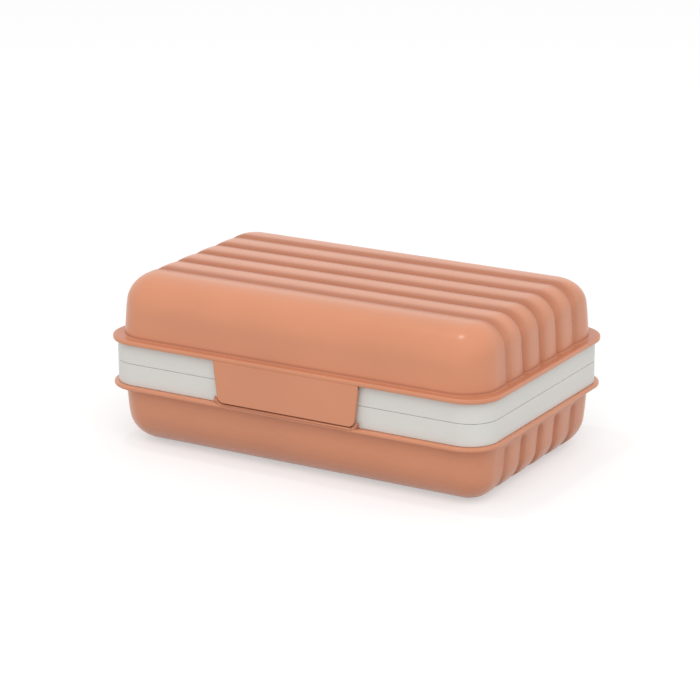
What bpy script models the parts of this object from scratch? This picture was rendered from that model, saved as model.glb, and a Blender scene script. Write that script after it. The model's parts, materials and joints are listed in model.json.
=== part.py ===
"""Covered soap dish shaped like a small suitcase, with a hinged lid, a front latch and a lift-out drain tray.

Metres, +Z up. The origin is under the middle of the closed case, on the surface that it stands on. +X runs
along the case, and the latch is at -Y. Heights are given from that surface.
"""

import math

import bmesh
import bpy
from mathutils import Matrix, Vector

# Whole case, measured over the flanges
CASE_LENGTH = 0.120
CASE_WIDTH = 0.076
CASE_HEIGHT = 0.048

# Heights of the seam between the lid and the base, and of what lies on each side of it
SEAM_HEIGHT = 0.0243
BASE_BAND_HEIGHT = 0.0062
LID_BAND_HEIGHT = 0.00575
BASE_FLANGE_THICKNESS = 0.0011
LID_FLANGE_THICKNESS = 0.0013

# Outlines seen from above, each given by how far it lies inside the flange of the lid
FLANGE_CORNER_RADIUS = 0.0100
BODY_CORNER_RADIUS = 0.0123
BASE_FLANGE_INSET = 0.0001
BAND_INSET = 0.0017
BAND_END_INSET = 0.00125
BAND_REAR_INSET = 0.0020
BAND_CORNER_RADIUS = 0.0083
LID_FOOT_INSET = 0.0024
BASE_FOOT_INSET = 0.0025
FLANGE_EDGE_ROUND = 0.0003
BASE_COVE = 0.0008

# Moulded walls
WALL = 0.0016
DRAFT_SHARE = 0.08
LID_FILLET = 0.0103
LID_END_FILLET = 0.0074
BASE_FILLET = 0.0120
BASE_END_FILLET = 0.0085
LID_FLAT_CORNER_RADIUS = 0.0026
BASE_FLAT_CORNER_RADIUS = 0.0008

# Valleys between the ribs, which run along the case and down its ends
RIB_PITCH = 0.0099
RIB_DEPTH = 0.0012
RIB_PILLOW = 0.00035
CREASE_REACH = 0.0016
OUTER_DEPTH_SHARE = 0.55
RIB_SHOULDER = 0.0022
MOST_VALLEYS_A_SIDE = 2
CREST_SHARE = 0.06
CREASE_STATION_SHARES = (0.35, 1.0)
PILLOW_STATION_SHARES = (0.65, 1.0)
BASE_VALLEY_START = 0.0016
BASE_VALLEY_FADE = 0.0022

# Clearance between neighbouring pieces
FIT_GAP = 0.0003

# White liners: a band that shows between the flanges, and a spigot inside the shell's wall
SPIGOT_THICKNESS = 0.0012
LID_SPIGOT_LENGTH = 0.0050
BASE_SPIGOT_LENGTH = 0.0045
OPENING_INSET = 0.0076
LINER_LIP_THICKNESS = 0.0015

# Seal ring, its groove in the lid liner, and the tongue of the base liner that presses on it
SEAL_INSET = 0.0056
SEAL_WIDTH = 0.0016
SEAL_THICKNESS = 0.0012
SEAL_EDGE_ROUND = 0.0003
TONGUE_WIDTH = 0.0012
TONGUE_HEIGHT = 0.0009

# Rear hinges
HINGE_END_DISTANCE = 0.028
KNUCKLE_RADIUS = 0.0017
BASE_KNUCKLE_LENGTH = 0.0080
LID_KNUCKLE_LENGTH = 0.0056
KNUCKLE_SIDE_GAP = 0.00035
PIN_RADIUS = 0.0006

# Front latch, its inner lip and the ridge of the base liner that the lip snaps under
LATCH_TOP_WIDTH = 0.0452
LATCH_BOTTOM_WIDTH = 0.0430
LATCH_THICKNESS = 0.0010
LATCH_FOOT_GAP = 0.00045
LATCH_CORNER_RADIUS = 0.0020
LATCH_EDGE_ROUND = 0.0002
LIVING_HINGE_HEIGHT = 0.0008
LIVING_HINGE_THICKNESS = 0.0005
CATCH_WIDTH = 0.020
CATCH_RIDGE_RADIUS = 0.00045
CATCH_RIDGE_HEIGHT = 0.0016
LIP_DEPTH = 0.00045
LIP_THICKNESS = 0.0005

# U-shaped bead on the base, round the latch's lower edge
BEAD_RADIUS = 0.0005
BEAD_END_DEGREES = 15.0

# Drain tray
TRAY_GAP = 0.0017
TRAY_CORNER_RADIUS = 0.0076
TRAY_PLATE_HEIGHT = 0.0064
TRAY_PLATE_THICKNESS = 0.0016
TRAY_RIM_WIDTH = 0.0014
TRAY_RIM_RISE = 0.0014
TRAY_RIM_DROP = 0.0003
TRAY_LEG_RADIUS = 0.0020
TRAY_LEG_END_DISTANCE = 0.0170
SLOT_WIDTH = 0.0032
SLOT_LENGTH = 0.0210
SLOT_PITCH = 0.0078
SLOT_MIDDLE_WEB = 0.0044
SLOT_END_WEB = 0.0030
FINGER_HOLE_RADIUS = 0.0060
FINGER_HOLE_END_DISTANCE = 0.0180
TRAY_RIB_RADIUS = 0.0008
TRAY_RIB_RISE = 0.0006

# Finish of the curved surfaces
ARC_STEPS = 6
FILLET_STEPS = 6
ROUND_SEGMENTS = 16
CUT_OVERRUN = 0.0010

# Values that follow from the sizes above
LID_FLANGE_BOTTOM = SEAM_HEIGHT + LID_BAND_HEIGHT
LID_FLANGE_TOP = LID_FLANGE_BOTTOM + LID_FLANGE_THICKNESS
BASE_FLANGE_TOP = SEAM_HEIGHT - BASE_BAND_HEIGHT
BASE_FLANGE_BOTTOM = BASE_FLANGE_TOP - BASE_FLANGE_THICKNESS
LID_LINER_BOTTOM = SEAM_HEIGHT + FIT_GAP / 2
LID_LINER_TOP = LID_FLANGE_BOTTOM - FIT_GAP
BASE_LINER_TOP = SEAM_HEIGHT - FIT_GAP / 2
BASE_LINER_BOTTOM = BASE_FLANGE_TOP + FIT_GAP
HINGE_Y = CASE_WIDTH / 2 - KNUCKLE_RADIUS
HINGE_X = CASE_LENGTH / 2 - HINGE_END_DISTANCE
LATCH_FRONT_Y = -CASE_WIDTH / 2
LATCH_BOTTOM_HEIGHT = BASE_FLANGE_TOP + LATCH_FOOT_GAP
LATCH_TOP_HEIGHT = LID_FLANGE_BOTTOM - FIT_GAP
LATCH_AXIS_HEIGHT = LID_FLANGE_BOTTOM - FIT_GAP / 2
LATCH_BACK_Y = LATCH_FRONT_Y + LATCH_THICKNESS
BAND_FRONT_Y = BAND_INSET - CASE_WIDTH / 2
TRAY_INSET = OPENING_INSET + TRAY_GAP
TRAY_LEG_X = CASE_LENGTH / 2 - TRAY_LEG_END_DISTANCE
FINGER_HOLE_X = CASE_LENGTH / 2 - FINGER_HOLE_END_DISTANCE
LID_SPIGOT_TOP = LID_LINER_TOP + LID_SPIGOT_LENGTH
BASE_SPIGOT_BOTTOM = BASE_LINER_BOTTOM - BASE_SPIGOT_LENGTH
BASE_VALLEY_TOP = BASE_FLANGE_BOTTOM - BASE_VALLEY_START
BASE_VALLEY_FULL = BASE_VALLEY_TOP - BASE_VALLEY_FADE
LID_FILLET_RISE = min(LID_FILLET, CASE_HEIGHT - LID_SPIGOT_TOP)
BASE_FILLET_RISE = min(BASE_FILLET, BASE_SPIGOT_BOTTOM, BASE_VALLEY_FULL)
LID_END_FILLET_RISE = min(LID_END_FILLET, LID_FILLET_RISE)
BASE_END_FILLET_RISE = min(BASE_END_FILLET, BASE_FILLET_RISE)
RIB_REACH = RIB_PITCH / 2 * (1 - CREST_SHARE)

TERRACOTTA = (0.634, 0.257, 0.139)
WARM_WHITE = (0.690, 0.680, 0.645)
SEAL_GREY = (0.72, 0.72, 0.70)
STEEL = (0.56, 0.57, 0.58)


def lid_wall_inset(height):
    """How far the lid's outer wall lies inside the flange at a height."""
    return LID_FOOT_INSET + DRAFT_SHARE * max(0, height - LID_FLANGE_TOP)


def base_wall_inset(height):
    """How far the base's outer wall lies inside the lid's flange at a height."""
    return BASE_FOOT_INSET + DRAFT_SHARE * max(0, BASE_FLANGE_BOTTOM - height)


LID_FLAT_INSET = lid_wall_inset(CASE_HEIGHT - LID_FILLET_RISE) + LID_FILLET_RISE
BASE_FLAT_INSET = base_wall_inset(BASE_FILLET_RISE) + BASE_FILLET_RISE


def valley_places():
    """Y of each valley: as many as the flats of the top and underside hold between their rounded corners."""
    corners = max(LID_FLAT_INSET + LID_FLAT_CORNER_RADIUS, BASE_FLAT_INSET + BASE_FLAT_CORNER_RADIUS)
    straight = CASE_WIDTH / 2 - corners
    a_side = min(MOST_VALLEYS_A_SIDE, int((straight - RIB_SHOULDER) / RIB_PITCH))
    return [n * RIB_PITCH for n in range(-a_side, a_side + 1)]


VALLEYS = valley_places()


def rib_drop(y):
    """Depth of the ribbed surface below its crests at y: slightly pillow-shaped ribs with narrow creases
    between them, of which the outermost are shallower."""
    nearest = min(VALLEYS, key=lambda valley: abs(y - valley))
    outermost = abs(nearest) == abs(VALLEYS[0])
    beyond = outermost and abs(y) > abs(nearest)
    away = abs(y - nearest)
    pillow = max(0, 1 - away / (RIB_SHOULDER if beyond else RIB_REACH))
    crease = max(0, 1 - away / CREASE_REACH)
    depth = RIB_DEPTH * OUTER_DEPTH_SHARE if outermost else RIB_DEPTH
    return RIB_PILLOW * pillow * pillow + (depth - RIB_PILLOW) * crease * crease


def rib_stations():
    """Y of the points that a ribbed end needs, from front to rear."""
    creases = [CREASE_REACH * share for share in CREASE_STATION_SHARES]
    inner = creases + [RIB_REACH * share for share in PILLOW_STATION_SHARES]
    outer = creases + [RIB_SHOULDER]
    places = set(VALLEYS)
    for valley in VALLEYS:
        places.update(valley + reach for reach in (outer if valley == VALLEYS[-1] else inner))
        places.update(valley - reach for reach in (outer if valley == VALLEYS[0] else inner))
    return sorted(places)


STATIONS = rib_stations()


def outline(height, inset, corner_radius, end_inset=None, rear_inset=None, stations=()):
    """Points of a rounded rectangle at a height, anticlockwise from the front of its +X end. The stations
    are the points along each end. The end and rear insets are the front's where they aren't given."""
    half_length = CASE_LENGTH / 2 - (inset if end_inset is None else end_inset)
    front = inset - CASE_WIDTH / 2
    rear = CASE_WIDTH / 2 - (inset if rear_inset is None else rear_inset)
    points = []

    def corner(x, y, start):
        for step in range(ARC_STEPS + 1):
            angle = math.radians(start + 90 * step / ARC_STEPS)
            points.append(
                Vector((x + corner_radius * math.cos(angle), y + corner_radius * math.sin(angle), height))
            )

    side = half_length - corner_radius
    corner(side, front + corner_radius, -90)
    points.extend(Vector((half_length, y, height)) for y in stations)
    corner(side, rear - corner_radius, 0)
    corner(-side, rear - corner_radius, 90)
    points.extend(Vector((-half_length, y, height)) for y in reversed(stations))
    corner(-side, front + corner_radius, 180)
    return points


def body_radius(inset):
    """Corner radius of the body's outline at an inset."""
    return BODY_CORNER_RADIUS - inset


def ribbed(points, slope, share=1.0):
    """Sinks an outline's points into the valleys, square to a surface that leans back by the slope angle: 0
    is an upright wall, 90 degrees the top and -90 degrees the underside."""
    for point in points:
        drop = rib_drop(point.y) * share if abs(point.y) <= STATIONS[-1] else 0
        point.x -= math.copysign(drop * math.cos(slope), point.x)
        point.z -= drop * math.sin(slope)
    return points


def lay_loop(bm, points):
    return [bm.verts.new(point) for point in points]


def skin(bm, loops, ring=False):
    """Faces between each outline and the next, and back to the first where the section is a ring."""
    pairs = list(zip(loops, loops[1:]))
    if ring:
        pairs.append((loops[-1], loops[0]))
    for low, high in pairs:
        for i in range(len(low)):
            after = (i + 1) % len(low)
            bm.faces.new((low[i], low[after], high[after], high[i]))


def cap(bm, loop, facing_up):
    """Strips along the case that close an outline, so that the ribs' lines run from end to end."""
    half = len(loop) // 2
    right = loop[:half]
    left = loop[half:][::-1]
    for i in range(half - 1):
        corners = (right[i], right[i + 1], left[i + 1], left[i])
        bm.faces.new(corners if facing_up else corners[::-1])


def ring_mesh(bm, sections):
    """A closed ring from outlines that run up its outside, in over its top and down its inside."""
    skin(bm, [lay_loop(bm, points) for points in sections], ring=True)


def add_rod(bm, start, end, radius, segments=ROUND_SEGMENTS):
    """A closed round rod between two points."""
    run = end - start
    place = Matrix.Translation((start + end) / 2) @ run.to_track_quat("Z", "Y").to_matrix().to_4x4()
    bmesh.ops.create_cone(
        bm, cap_ends=True, segments=segments, radius1=radius, radius2=radius, depth=run.length, matrix=place
    )


def add_block(bm, low, high):
    """A closed box between two corners."""
    place = Matrix.Translation((low + high) / 2) @ Matrix.Diagonal((high - low).to_4d())
    place[3][3] = 1.0
    bmesh.ops.create_cube(bm, size=1.0, matrix=place)


def object_from(name, bm, collection):
    mesh = bpy.data.meshes.new(name)
    bm.to_mesh(mesh)
    bm.free()
    made = bpy.data.objects.new(name, mesh)
    collection.objects.link(made)
    return made


def mesh_from_curve(curve_object, collection):
    """A mesh object in place of a curve object, with its caps welded to its sides."""
    name = curve_object.name
    bpy.context.view_layer.update()
    seen = curve_object.evaluated_get(bpy.context.evaluated_depsgraph_get())
    mesh = bpy.data.meshes.new_from_object(seen)
    place = curve_object.matrix_world.copy()
    bpy.data.objects.remove(curve_object)
    bm = bmesh.new()
    bm.from_mesh(mesh)
    bpy.data.meshes.remove(mesh)
    bmesh.ops.remove_doubles(bm, verts=bm.verts, dist=FIT_GAP / 100)
    bmesh.ops.recalc_face_normals(bm, faces=bm.faces)
    bmesh.ops.transform(bm, matrix=place, verts=bm.verts)
    return object_from(name, bm, collection)


def add_plug(bm, points, low, high):
    """A closed upright prism on an anticlockwise outline, between two heights."""
    loops = [[bm.verts.new((x, y, height)) for x, y in points] for height in (low, high)]
    skin(bm, loops)
    bm.faces.new(loops[0][::-1])
    bm.faces.new(loops[1])


def flat_plate(name, points, thickness, collection):
    """A plate of even thickness inside a closed outline, as a curve object in its own XY plane."""
    curve = bpy.data.curves.new(name, "CURVE")
    curve.dimensions = "2D"
    curve.fill_mode = "BOTH"
    curve.extrude = thickness / 2
    spline = curve.splines.new("POLY")
    spline.points.add(len(points) - 1)
    for point, place in zip(spline.points, points):
        point.co = (place[0], place[1], 0, 1)
    spline.use_cyclic_u = True
    made = bpy.data.objects.new(name, curve)
    collection.objects.link(made)
    return made


def helper(made):
    """Marks a cutter, or a shape that is joined to a piece, so that it isn't a piece itself."""
    made.hide_render = True
    made.display_type = "WIRE"
    return made


def change(piece, operation, tool):
    modifier = piece.modifiers.new(operation.title() + " " + tool.name, "BOOLEAN")
    modifier.operation = operation
    modifier.solver = "EXACT"
    modifier.object = tool


def plastic(name, colour, roughness, metallic=0.0):
    material = bpy.data.materials.new(name)
    material.use_nodes = True
    shader = material.node_tree.nodes["Principled BSDF"]
    shader.inputs["Base Color"].default_value = (*colour, 1.0)
    shader.inputs["Roughness"].default_value = roughness
    shader.inputs["Metallic"].default_value = metallic
    material.diffuse_color = (*colour, 1.0)
    return material


def finish(piece, material, smooth_degrees=35):
    piece.data.materials.clear()
    piece.data.materials.append(material)
    piece.data.shade_smooth()
    piece.data.set_sharp_from_angle(angle=math.radians(smooth_degrees))
    return piece


def fillet_loops(wall_inset_at, fillet, end_fillet, flat_corner, depth, face_height, upward):
    """Outlines round a shell's fillet from its wall to its flat, at a depth inside the outer surface. The
    ends have a smaller fillet than the front and rear, and the plan's corner tightens on the way."""
    sign = 1 if upward else -1
    wall_inset = wall_inset_at(face_height - sign * fillet)
    end_wall_inset = wall_inset_at(face_height - sign * end_fillet)
    wall_radius = body_radius(wall_inset)
    loops = []
    for step in range(FILLET_STEPS + 1):
        slope = math.pi / 2 * step / FILLET_STEPS
        rise = (fillet - depth) * math.sin(slope) - fillet
        height = face_height + sign * rise
        inset = wall_inset + fillet - (fillet - depth) * math.cos(slope)
        end_slope = math.asin(min(max(0, (rise + end_fillet) / (end_fillet - depth)), 1))
        end_start = min(wall_inset_at(height), end_wall_inset)
        end_inset = end_start + end_fillet - (end_fillet - depth) * math.cos(end_slope)
        radius = wall_radius + (flat_corner - wall_radius) * (1 - math.cos(slope)) - depth * math.cos(slope)
        points = outline(height, inset, radius, end_inset=end_inset, stations=STATIONS)
        loops.append(ribbed(points, sign * end_slope))
    return loops


def flange_loops(inset, bottom, top):
    """Outlines up the edge of a flange, which is rounded above and below."""
    edge = FLANGE_EDGE_ROUND
    rows = ((edge, bottom), (0, bottom + edge), (0, top - edge), (edge, top))
    return [
        outline(height, inset + back, FLANGE_CORNER_RADIUS - inset - back, stations=STATIONS)
        for back, height in rows
    ]


def wall_loop(inset, height, depth=0, share=1.0):
    radius = body_radius(inset + depth)
    return ribbed(outline(height, inset + depth, radius, stations=STATIONS), 0, share)


def lid_shell(collection):
    """Ribbed dome with the thin flange round its foot, one wall thick and open below."""
    fillet = (lid_wall_inset, LID_FILLET_RISE, LID_END_FILLET_RISE, LID_FLAT_CORNER_RADIUS)
    inside = fillet_loops(*fillet, WALL, CASE_HEIGHT, True)[::-1]
    rim = [
        wall_loop(LID_FOOT_INSET, LID_FLANGE_TOP, WALL),
        wall_loop(LID_FOOT_INSET, LID_FLANGE_BOTTOM, WALL),
    ]
    flange = flange_loops(0, LID_FLANGE_BOTTOM, LID_FLANGE_TOP)
    outside = [wall_loop(LID_FOOT_INSET, LID_FLANGE_TOP)] + fillet_loops(*fillet, 0, CASE_HEIGHT, True)
    bm = bmesh.new()
    loops = [lay_loop(bm, points) for points in inside + rim + flange + outside]
    skin(bm, loops)
    cap(bm, loops[-1], facing_up=True)
    cap(bm, loops[0], facing_up=False)
    return object_from("lid_shell", bm, collection)


def base_wall_loops(depth):
    """Outlines down the base's wall, where the valleys start below the flange and fade in."""
    rows = ((BASE_VALLEY_TOP, 0), (BASE_VALLEY_TOP - BASE_VALLEY_FADE / 2, 0.5), (BASE_VALLEY_FULL, 1.0))
    return [wall_loop(base_wall_inset(height), height, depth, share) for height, share in rows]


def base_shell(collection):
    """Bowl with a thin flange, ribbed ends and underside, open above."""
    fillet = (base_wall_inset, BASE_FILLET_RISE, BASE_END_FILLET_RISE, BASE_FLAT_CORNER_RADIUS)
    outside = fillet_loops(*fillet, 0, 0, False)[::-1] + base_wall_loops(0)[::-1]
    foot = BASE_FOOT_INSET
    cove = [
        outline(BASE_FLANGE_BOTTOM - BASE_COVE, foot, body_radius(foot), stations=STATIONS),
        outline(BASE_FLANGE_BOTTOM, foot - BASE_COVE, body_radius(foot - BASE_COVE), stations=STATIONS),
    ]
    flange = flange_loops(BASE_FLANGE_INSET, BASE_FLANGE_BOTTOM, BASE_FLANGE_TOP)
    rim = [outline(BASE_FLANGE_TOP, foot + WALL, body_radius(foot + WALL), stations=STATIONS)]
    inside = base_wall_loops(WALL) + fillet_loops(*fillet, WALL, 0, False)
    bm = bmesh.new()
    loops = [lay_loop(bm, points) for points in outside + cove + flange + rim + inside]
    skin(bm, loops)
    cap(bm, loops[0], facing_up=False)
    cap(bm, loops[-1], facing_up=True)
    return object_from("base_shell", bm, collection)


def spigot_outline(height, wall_inset, depth):
    """An outline of a liner's spigot, which clears the insides of the valleys at the ends."""
    inset = wall_inset + WALL + FIT_GAP + depth
    return outline(height, inset, body_radius(inset), end_inset=inset + RIB_DEPTH)


def band_outline(height):
    return outline(
        height, BAND_INSET, BAND_CORNER_RADIUS, end_inset=BAND_END_INSET, rear_inset=BAND_REAR_INSET
    )


def plain_outline(height, inset):
    return outline(height, inset, body_radius(inset))


def lid_liner(collection):
    """Upper half of the white band, with the seal's groove below and a spigot inside the lid's wall."""
    groove_half = SEAL_WIDTH / 2 + FIT_GAP
    groove_top = seal_bottom() + SEAL_THICKNESS + FIT_GAP
    lip_top = groove_top + LINER_LIP_THICKNESS
    bm = bmesh.new()
    ring_mesh(
        bm,
        [
            band_outline(LID_LINER_BOTTOM),
            band_outline(LID_LINER_TOP),
            spigot_outline(LID_LINER_TOP, lid_wall_inset(LID_LINER_TOP), 0),
            spigot_outline(LID_SPIGOT_TOP, lid_wall_inset(LID_SPIGOT_TOP), 0),
            spigot_outline(LID_SPIGOT_TOP, lid_wall_inset(LID_SPIGOT_TOP), SPIGOT_THICKNESS),
            spigot_outline(lip_top, lid_wall_inset(LID_LINER_TOP), SPIGOT_THICKNESS),
            plain_outline(lip_top, OPENING_INSET),
            plain_outline(LID_LINER_BOTTOM, OPENING_INSET),
            plain_outline(LID_LINER_BOTTOM, SEAL_INSET + groove_half),
            plain_outline(groove_top, SEAL_INSET + groove_half),
            plain_outline(groove_top, SEAL_INSET - groove_half),
            plain_outline(LID_LINER_BOTTOM, SEAL_INSET - groove_half),
        ],
    )
    return object_from("lid_liner", bm, collection)


def base_liner(collection):
    """Lower half of the white band, with the seal's tongue above and a spigot inside the base's wall."""
    tongue_top = BASE_LINER_TOP + TONGUE_HEIGHT
    lip_bottom = BASE_LINER_TOP - LINER_LIP_THICKNESS
    slope_bottom = lip_bottom - LINER_LIP_THICKNESS
    bm = bmesh.new()
    ring_mesh(
        bm,
        [
            spigot_outline(BASE_SPIGOT_BOTTOM, base_wall_inset(BASE_SPIGOT_BOTTOM), 0),
            spigot_outline(BASE_LINER_BOTTOM, base_wall_inset(BASE_LINER_BOTTOM), 0),
            band_outline(BASE_LINER_BOTTOM),
            band_outline(BASE_LINER_TOP),
            plain_outline(BASE_LINER_TOP, SEAL_INSET - TONGUE_WIDTH / 2),
            plain_outline(tongue_top, SEAL_INSET - TONGUE_WIDTH / 2),
            plain_outline(tongue_top, SEAL_INSET + TONGUE_WIDTH / 2),
            plain_outline(BASE_LINER_TOP, SEAL_INSET + TONGUE_WIDTH / 2),
            plain_outline(BASE_LINER_TOP, OPENING_INSET),
            plain_outline(lip_bottom, OPENING_INSET),
            spigot_outline(slope_bottom, base_wall_inset(BASE_LINER_BOTTOM), SPIGOT_THICKNESS),
            spigot_outline(BASE_SPIGOT_BOTTOM, base_wall_inset(BASE_SPIGOT_BOTTOM), SPIGOT_THICKNESS),
        ],
    )
    return object_from("base_liner", bm, collection)


def seal_bottom():
    return BASE_LINER_TOP + TONGUE_HEIGHT + FIT_GAP


def lid_seal(collection):
    """Seal ring, pressed into the lid liner's groove."""
    low = seal_bottom()
    high = low + SEAL_THICKNESS
    outer = SEAL_INSET - SEAL_WIDTH / 2
    inner = SEAL_INSET + SEAL_WIDTH / 2
    edge = SEAL_EDGE_ROUND
    rows = (
        (outer + edge, low),
        (outer, low + edge),
        (outer, high),
        (inner, high),
        (inner, low + edge),
        (inner - edge, low),
    )
    bm = bmesh.new()
    ring_mesh(bm, [plain_outline(height, inset) for inset, height in rows])
    return object_from("lid_seal", bm, collection)


def hinge_rods(name, spans, radius, collection):
    """Round rods on the hinge axis, each between two distances from the middle of a hinge."""
    bm = bmesh.new()
    for middle in (-HINGE_X, HINGE_X):
        for start, end in spans:
            left = Vector((middle + start, HINGE_Y, SEAM_HEIGHT))
            right = Vector((middle + end, HINGE_Y, SEAM_HEIGHT))
            add_rod(bm, left, right, radius)
    return object_from(name, bm, collection)


def add_hinges(lid, base, helpers):
    """Knuckles on both liners, the room that each leaves for the other's, and the bore for the pins."""
    base_end = BASE_KNUCKLE_LENGTH / 2
    lid_start = base_end + KNUCKLE_SIDE_GAP
    lid_end = lid_start + LID_KNUCKLE_LENGTH
    sweep = KNUCKLE_RADIUS + FIT_GAP
    lid_spans = ((lid_start, lid_end), (-lid_end, -lid_start))
    lid_room = ((lid_start - FIT_GAP, lid_end + FIT_GAP), (-lid_end - FIT_GAP, FIT_GAP - lid_start))
    base_spans = ((-base_end, base_end),)
    base_room = ((-base_end - FIT_GAP, base_end + FIT_GAP),)
    bore = ((-lid_end - CUT_OVERRUN, lid_end + CUT_OVERRUN),)
    bores = helper(hinge_rods("pin_bores", bore, PIN_RADIUS + FIT_GAP, helpers))
    for liner, own, others in ((lid, lid_spans, base_room), (base, base_spans, lid_room)):
        room = helper(hinge_rods(liner.name + "_knuckle_room", others, sweep, helpers))
        knuckles = helper(hinge_rods(liner.name + "_knuckles", own, KNUCKLE_RADIUS, helpers))
        change(liner, "DIFFERENCE", room)
        change(liner, "UNION", knuckles)
        change(liner, "DIFFERENCE", bores)


def hinge_pins(collection):
    """One pin in each hinge, a little shorter than its knuckles."""
    half = BASE_KNUCKLE_LENGTH / 2 + KNUCKLE_SIDE_GAP + LID_KNUCKLE_LENGTH - FIT_GAP
    pins = []
    for side, middle in (("left", -HINGE_X), ("right", HINGE_X)):
        bm = bmesh.new()
        left = Vector((middle - half, HINGE_Y, SEAM_HEIGHT))
        right = Vector((middle + half, HINGE_Y, SEAM_HEIGHT))
        add_rod(bm, left, right, PIN_RADIUS)
        pins.append(object_from("hinge_pin_" + side, bm, collection))
    return pins


def arc_points(x, z, radius, start, end, steps):
    """Points along an arc in the latch's plane, with the angles in degrees from +X."""
    places = []
    for step in range(steps + 1):
        angle = math.radians(start + (end - start) * step / steps)
        places.append((x + radius * math.cos(angle), z + radius * math.sin(angle)))
    return places


def latch_corner():
    """Centre of the latch's rounded lower corner on the +X side."""
    return (LATCH_BOTTOM_WIDTH / 2 - LATCH_CORNER_RADIUS, LATCH_BOTTOM_HEIGHT + LATCH_CORNER_RADIUS)


def catch_height():
    return BASE_LINER_BOTTOM + CATCH_RIDGE_HEIGHT


def front_latch(collection, helpers):
    """Wide tab in front of the band, thinned to a living hinge along its top, with a lip inside its foot."""
    corner_x, corner_z = latch_corner()
    right = arc_points(corner_x, corner_z, LATCH_CORNER_RADIUS, -90, 0, ARC_STEPS)
    edge = right + [(LATCH_TOP_WIDTH / 2, LATCH_TOP_HEIGHT)]
    points = edge + [(-x, z) for x, z in reversed(edge)]
    curve = flat_plate("front_latch", points, LATCH_THICKNESS, collection)
    curve.rotation_euler = (math.pi / 2, 0, 0)
    curve.location = (0, LATCH_FRONT_Y + LATCH_THICKNESS / 2, 0)
    latch = mesh_from_curve(curve, collection)
    bevel = latch.modifiers.new("Edge round", "BEVEL")
    bevel.width = LATCH_EDGE_ROUND
    bevel.segments = 1
    bevel.limit_method = "ANGLE"
    bevel.angle_limit = math.radians(60)
    thinning = bmesh.new()
    reach = LATCH_TOP_WIDTH / 2 + CUT_OVERRUN
    add_block(
        thinning,
        Vector((-reach, LATCH_FRONT_Y + LIVING_HINGE_THICKNESS, LATCH_TOP_HEIGHT - LIVING_HINGE_HEIGHT)),
        Vector((reach, LATCH_BACK_Y + CUT_OVERRUN, LATCH_TOP_HEIGHT + CUT_OVERRUN)),
    )
    change(latch, "DIFFERENCE", helper(object_from("living_hinge_groove", thinning, helpers)))
    lip = bmesh.new()
    lip_top = catch_height() - CATCH_RIDGE_RADIUS - FIT_GAP
    add_block(
        lip,
        Vector((-CATCH_WIDTH / 2, LATCH_BACK_Y - LATCH_THICKNESS / 2, lip_top - LIP_THICKNESS)),
        Vector((CATCH_WIDTH / 2, LATCH_BACK_Y + LIP_DEPTH, lip_top)),
    )
    change(latch, "UNION", helper(object_from("latch_lip", lip, helpers)))
    return latch


def add_catch(liner, helpers):
    """Ridge across the front of the base liner, behind the latch, that the latch's lip snaps under."""
    bm = bmesh.new()
    reach = CATCH_WIDTH / 2 + FIT_GAP
    add_rod(
        bm,
        Vector((-reach, BAND_FRONT_Y, catch_height())),
        Vector((reach, BAND_FRONT_Y, catch_height())),
        CATCH_RIDGE_RADIUS,
        segments=ROUND_SEGMENTS // 2,
    )
    change(liner, "UNION", helper(object_from("catch_ridge", bm, helpers)))


def add_bead(shell, helpers):
    """Raised bead on the base's flange that follows the latch's lower edge and curls up at its ends."""
    corner_x, corner_z = latch_corner()
    radius = LATCH_CORNER_RADIUS + FIT_GAP + BEAD_RADIUS
    right = arc_points(corner_x, corner_z, radius, -90, -BEAD_END_DEGREES, ARC_STEPS)
    path = [(-x, z) for x, z in reversed(right)] + right
    curve = bpy.data.curves.new("latch_bead", "CURVE")
    curve.dimensions = "3D"
    curve.bevel_depth = BEAD_RADIUS
    curve.bevel_resolution = 2
    curve.use_fill_caps = True
    spline = curve.splines.new("POLY")
    spline.points.add(len(path) - 1)
    for point, (x, z) in zip(spline.points, path):
        point.co = (x, LATCH_FRONT_Y + BEAD_RADIUS, z, 1)
    made = bpy.data.objects.new("latch_bead", curve)
    helpers.objects.link(made)
    change(shell, "UNION", helper(mesh_from_curve(made, helpers)))


def slot_outline(x, y):
    """A round-ended slot across the tray."""
    reach = (SLOT_LENGTH - SLOT_WIDTH) / 2
    steps = ARC_STEPS // 2
    far = arc_points(x, y + reach, SLOT_WIDTH / 2, 0, 180, steps)
    near = arc_points(x, y - reach, SLOT_WIDTH / 2, 180, 360, steps)
    return far + near


def tray_outline(height, depth):
    inset = TRAY_INSET + depth
    return outline(height, inset, TRAY_CORNER_RADIUS - depth)


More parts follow.
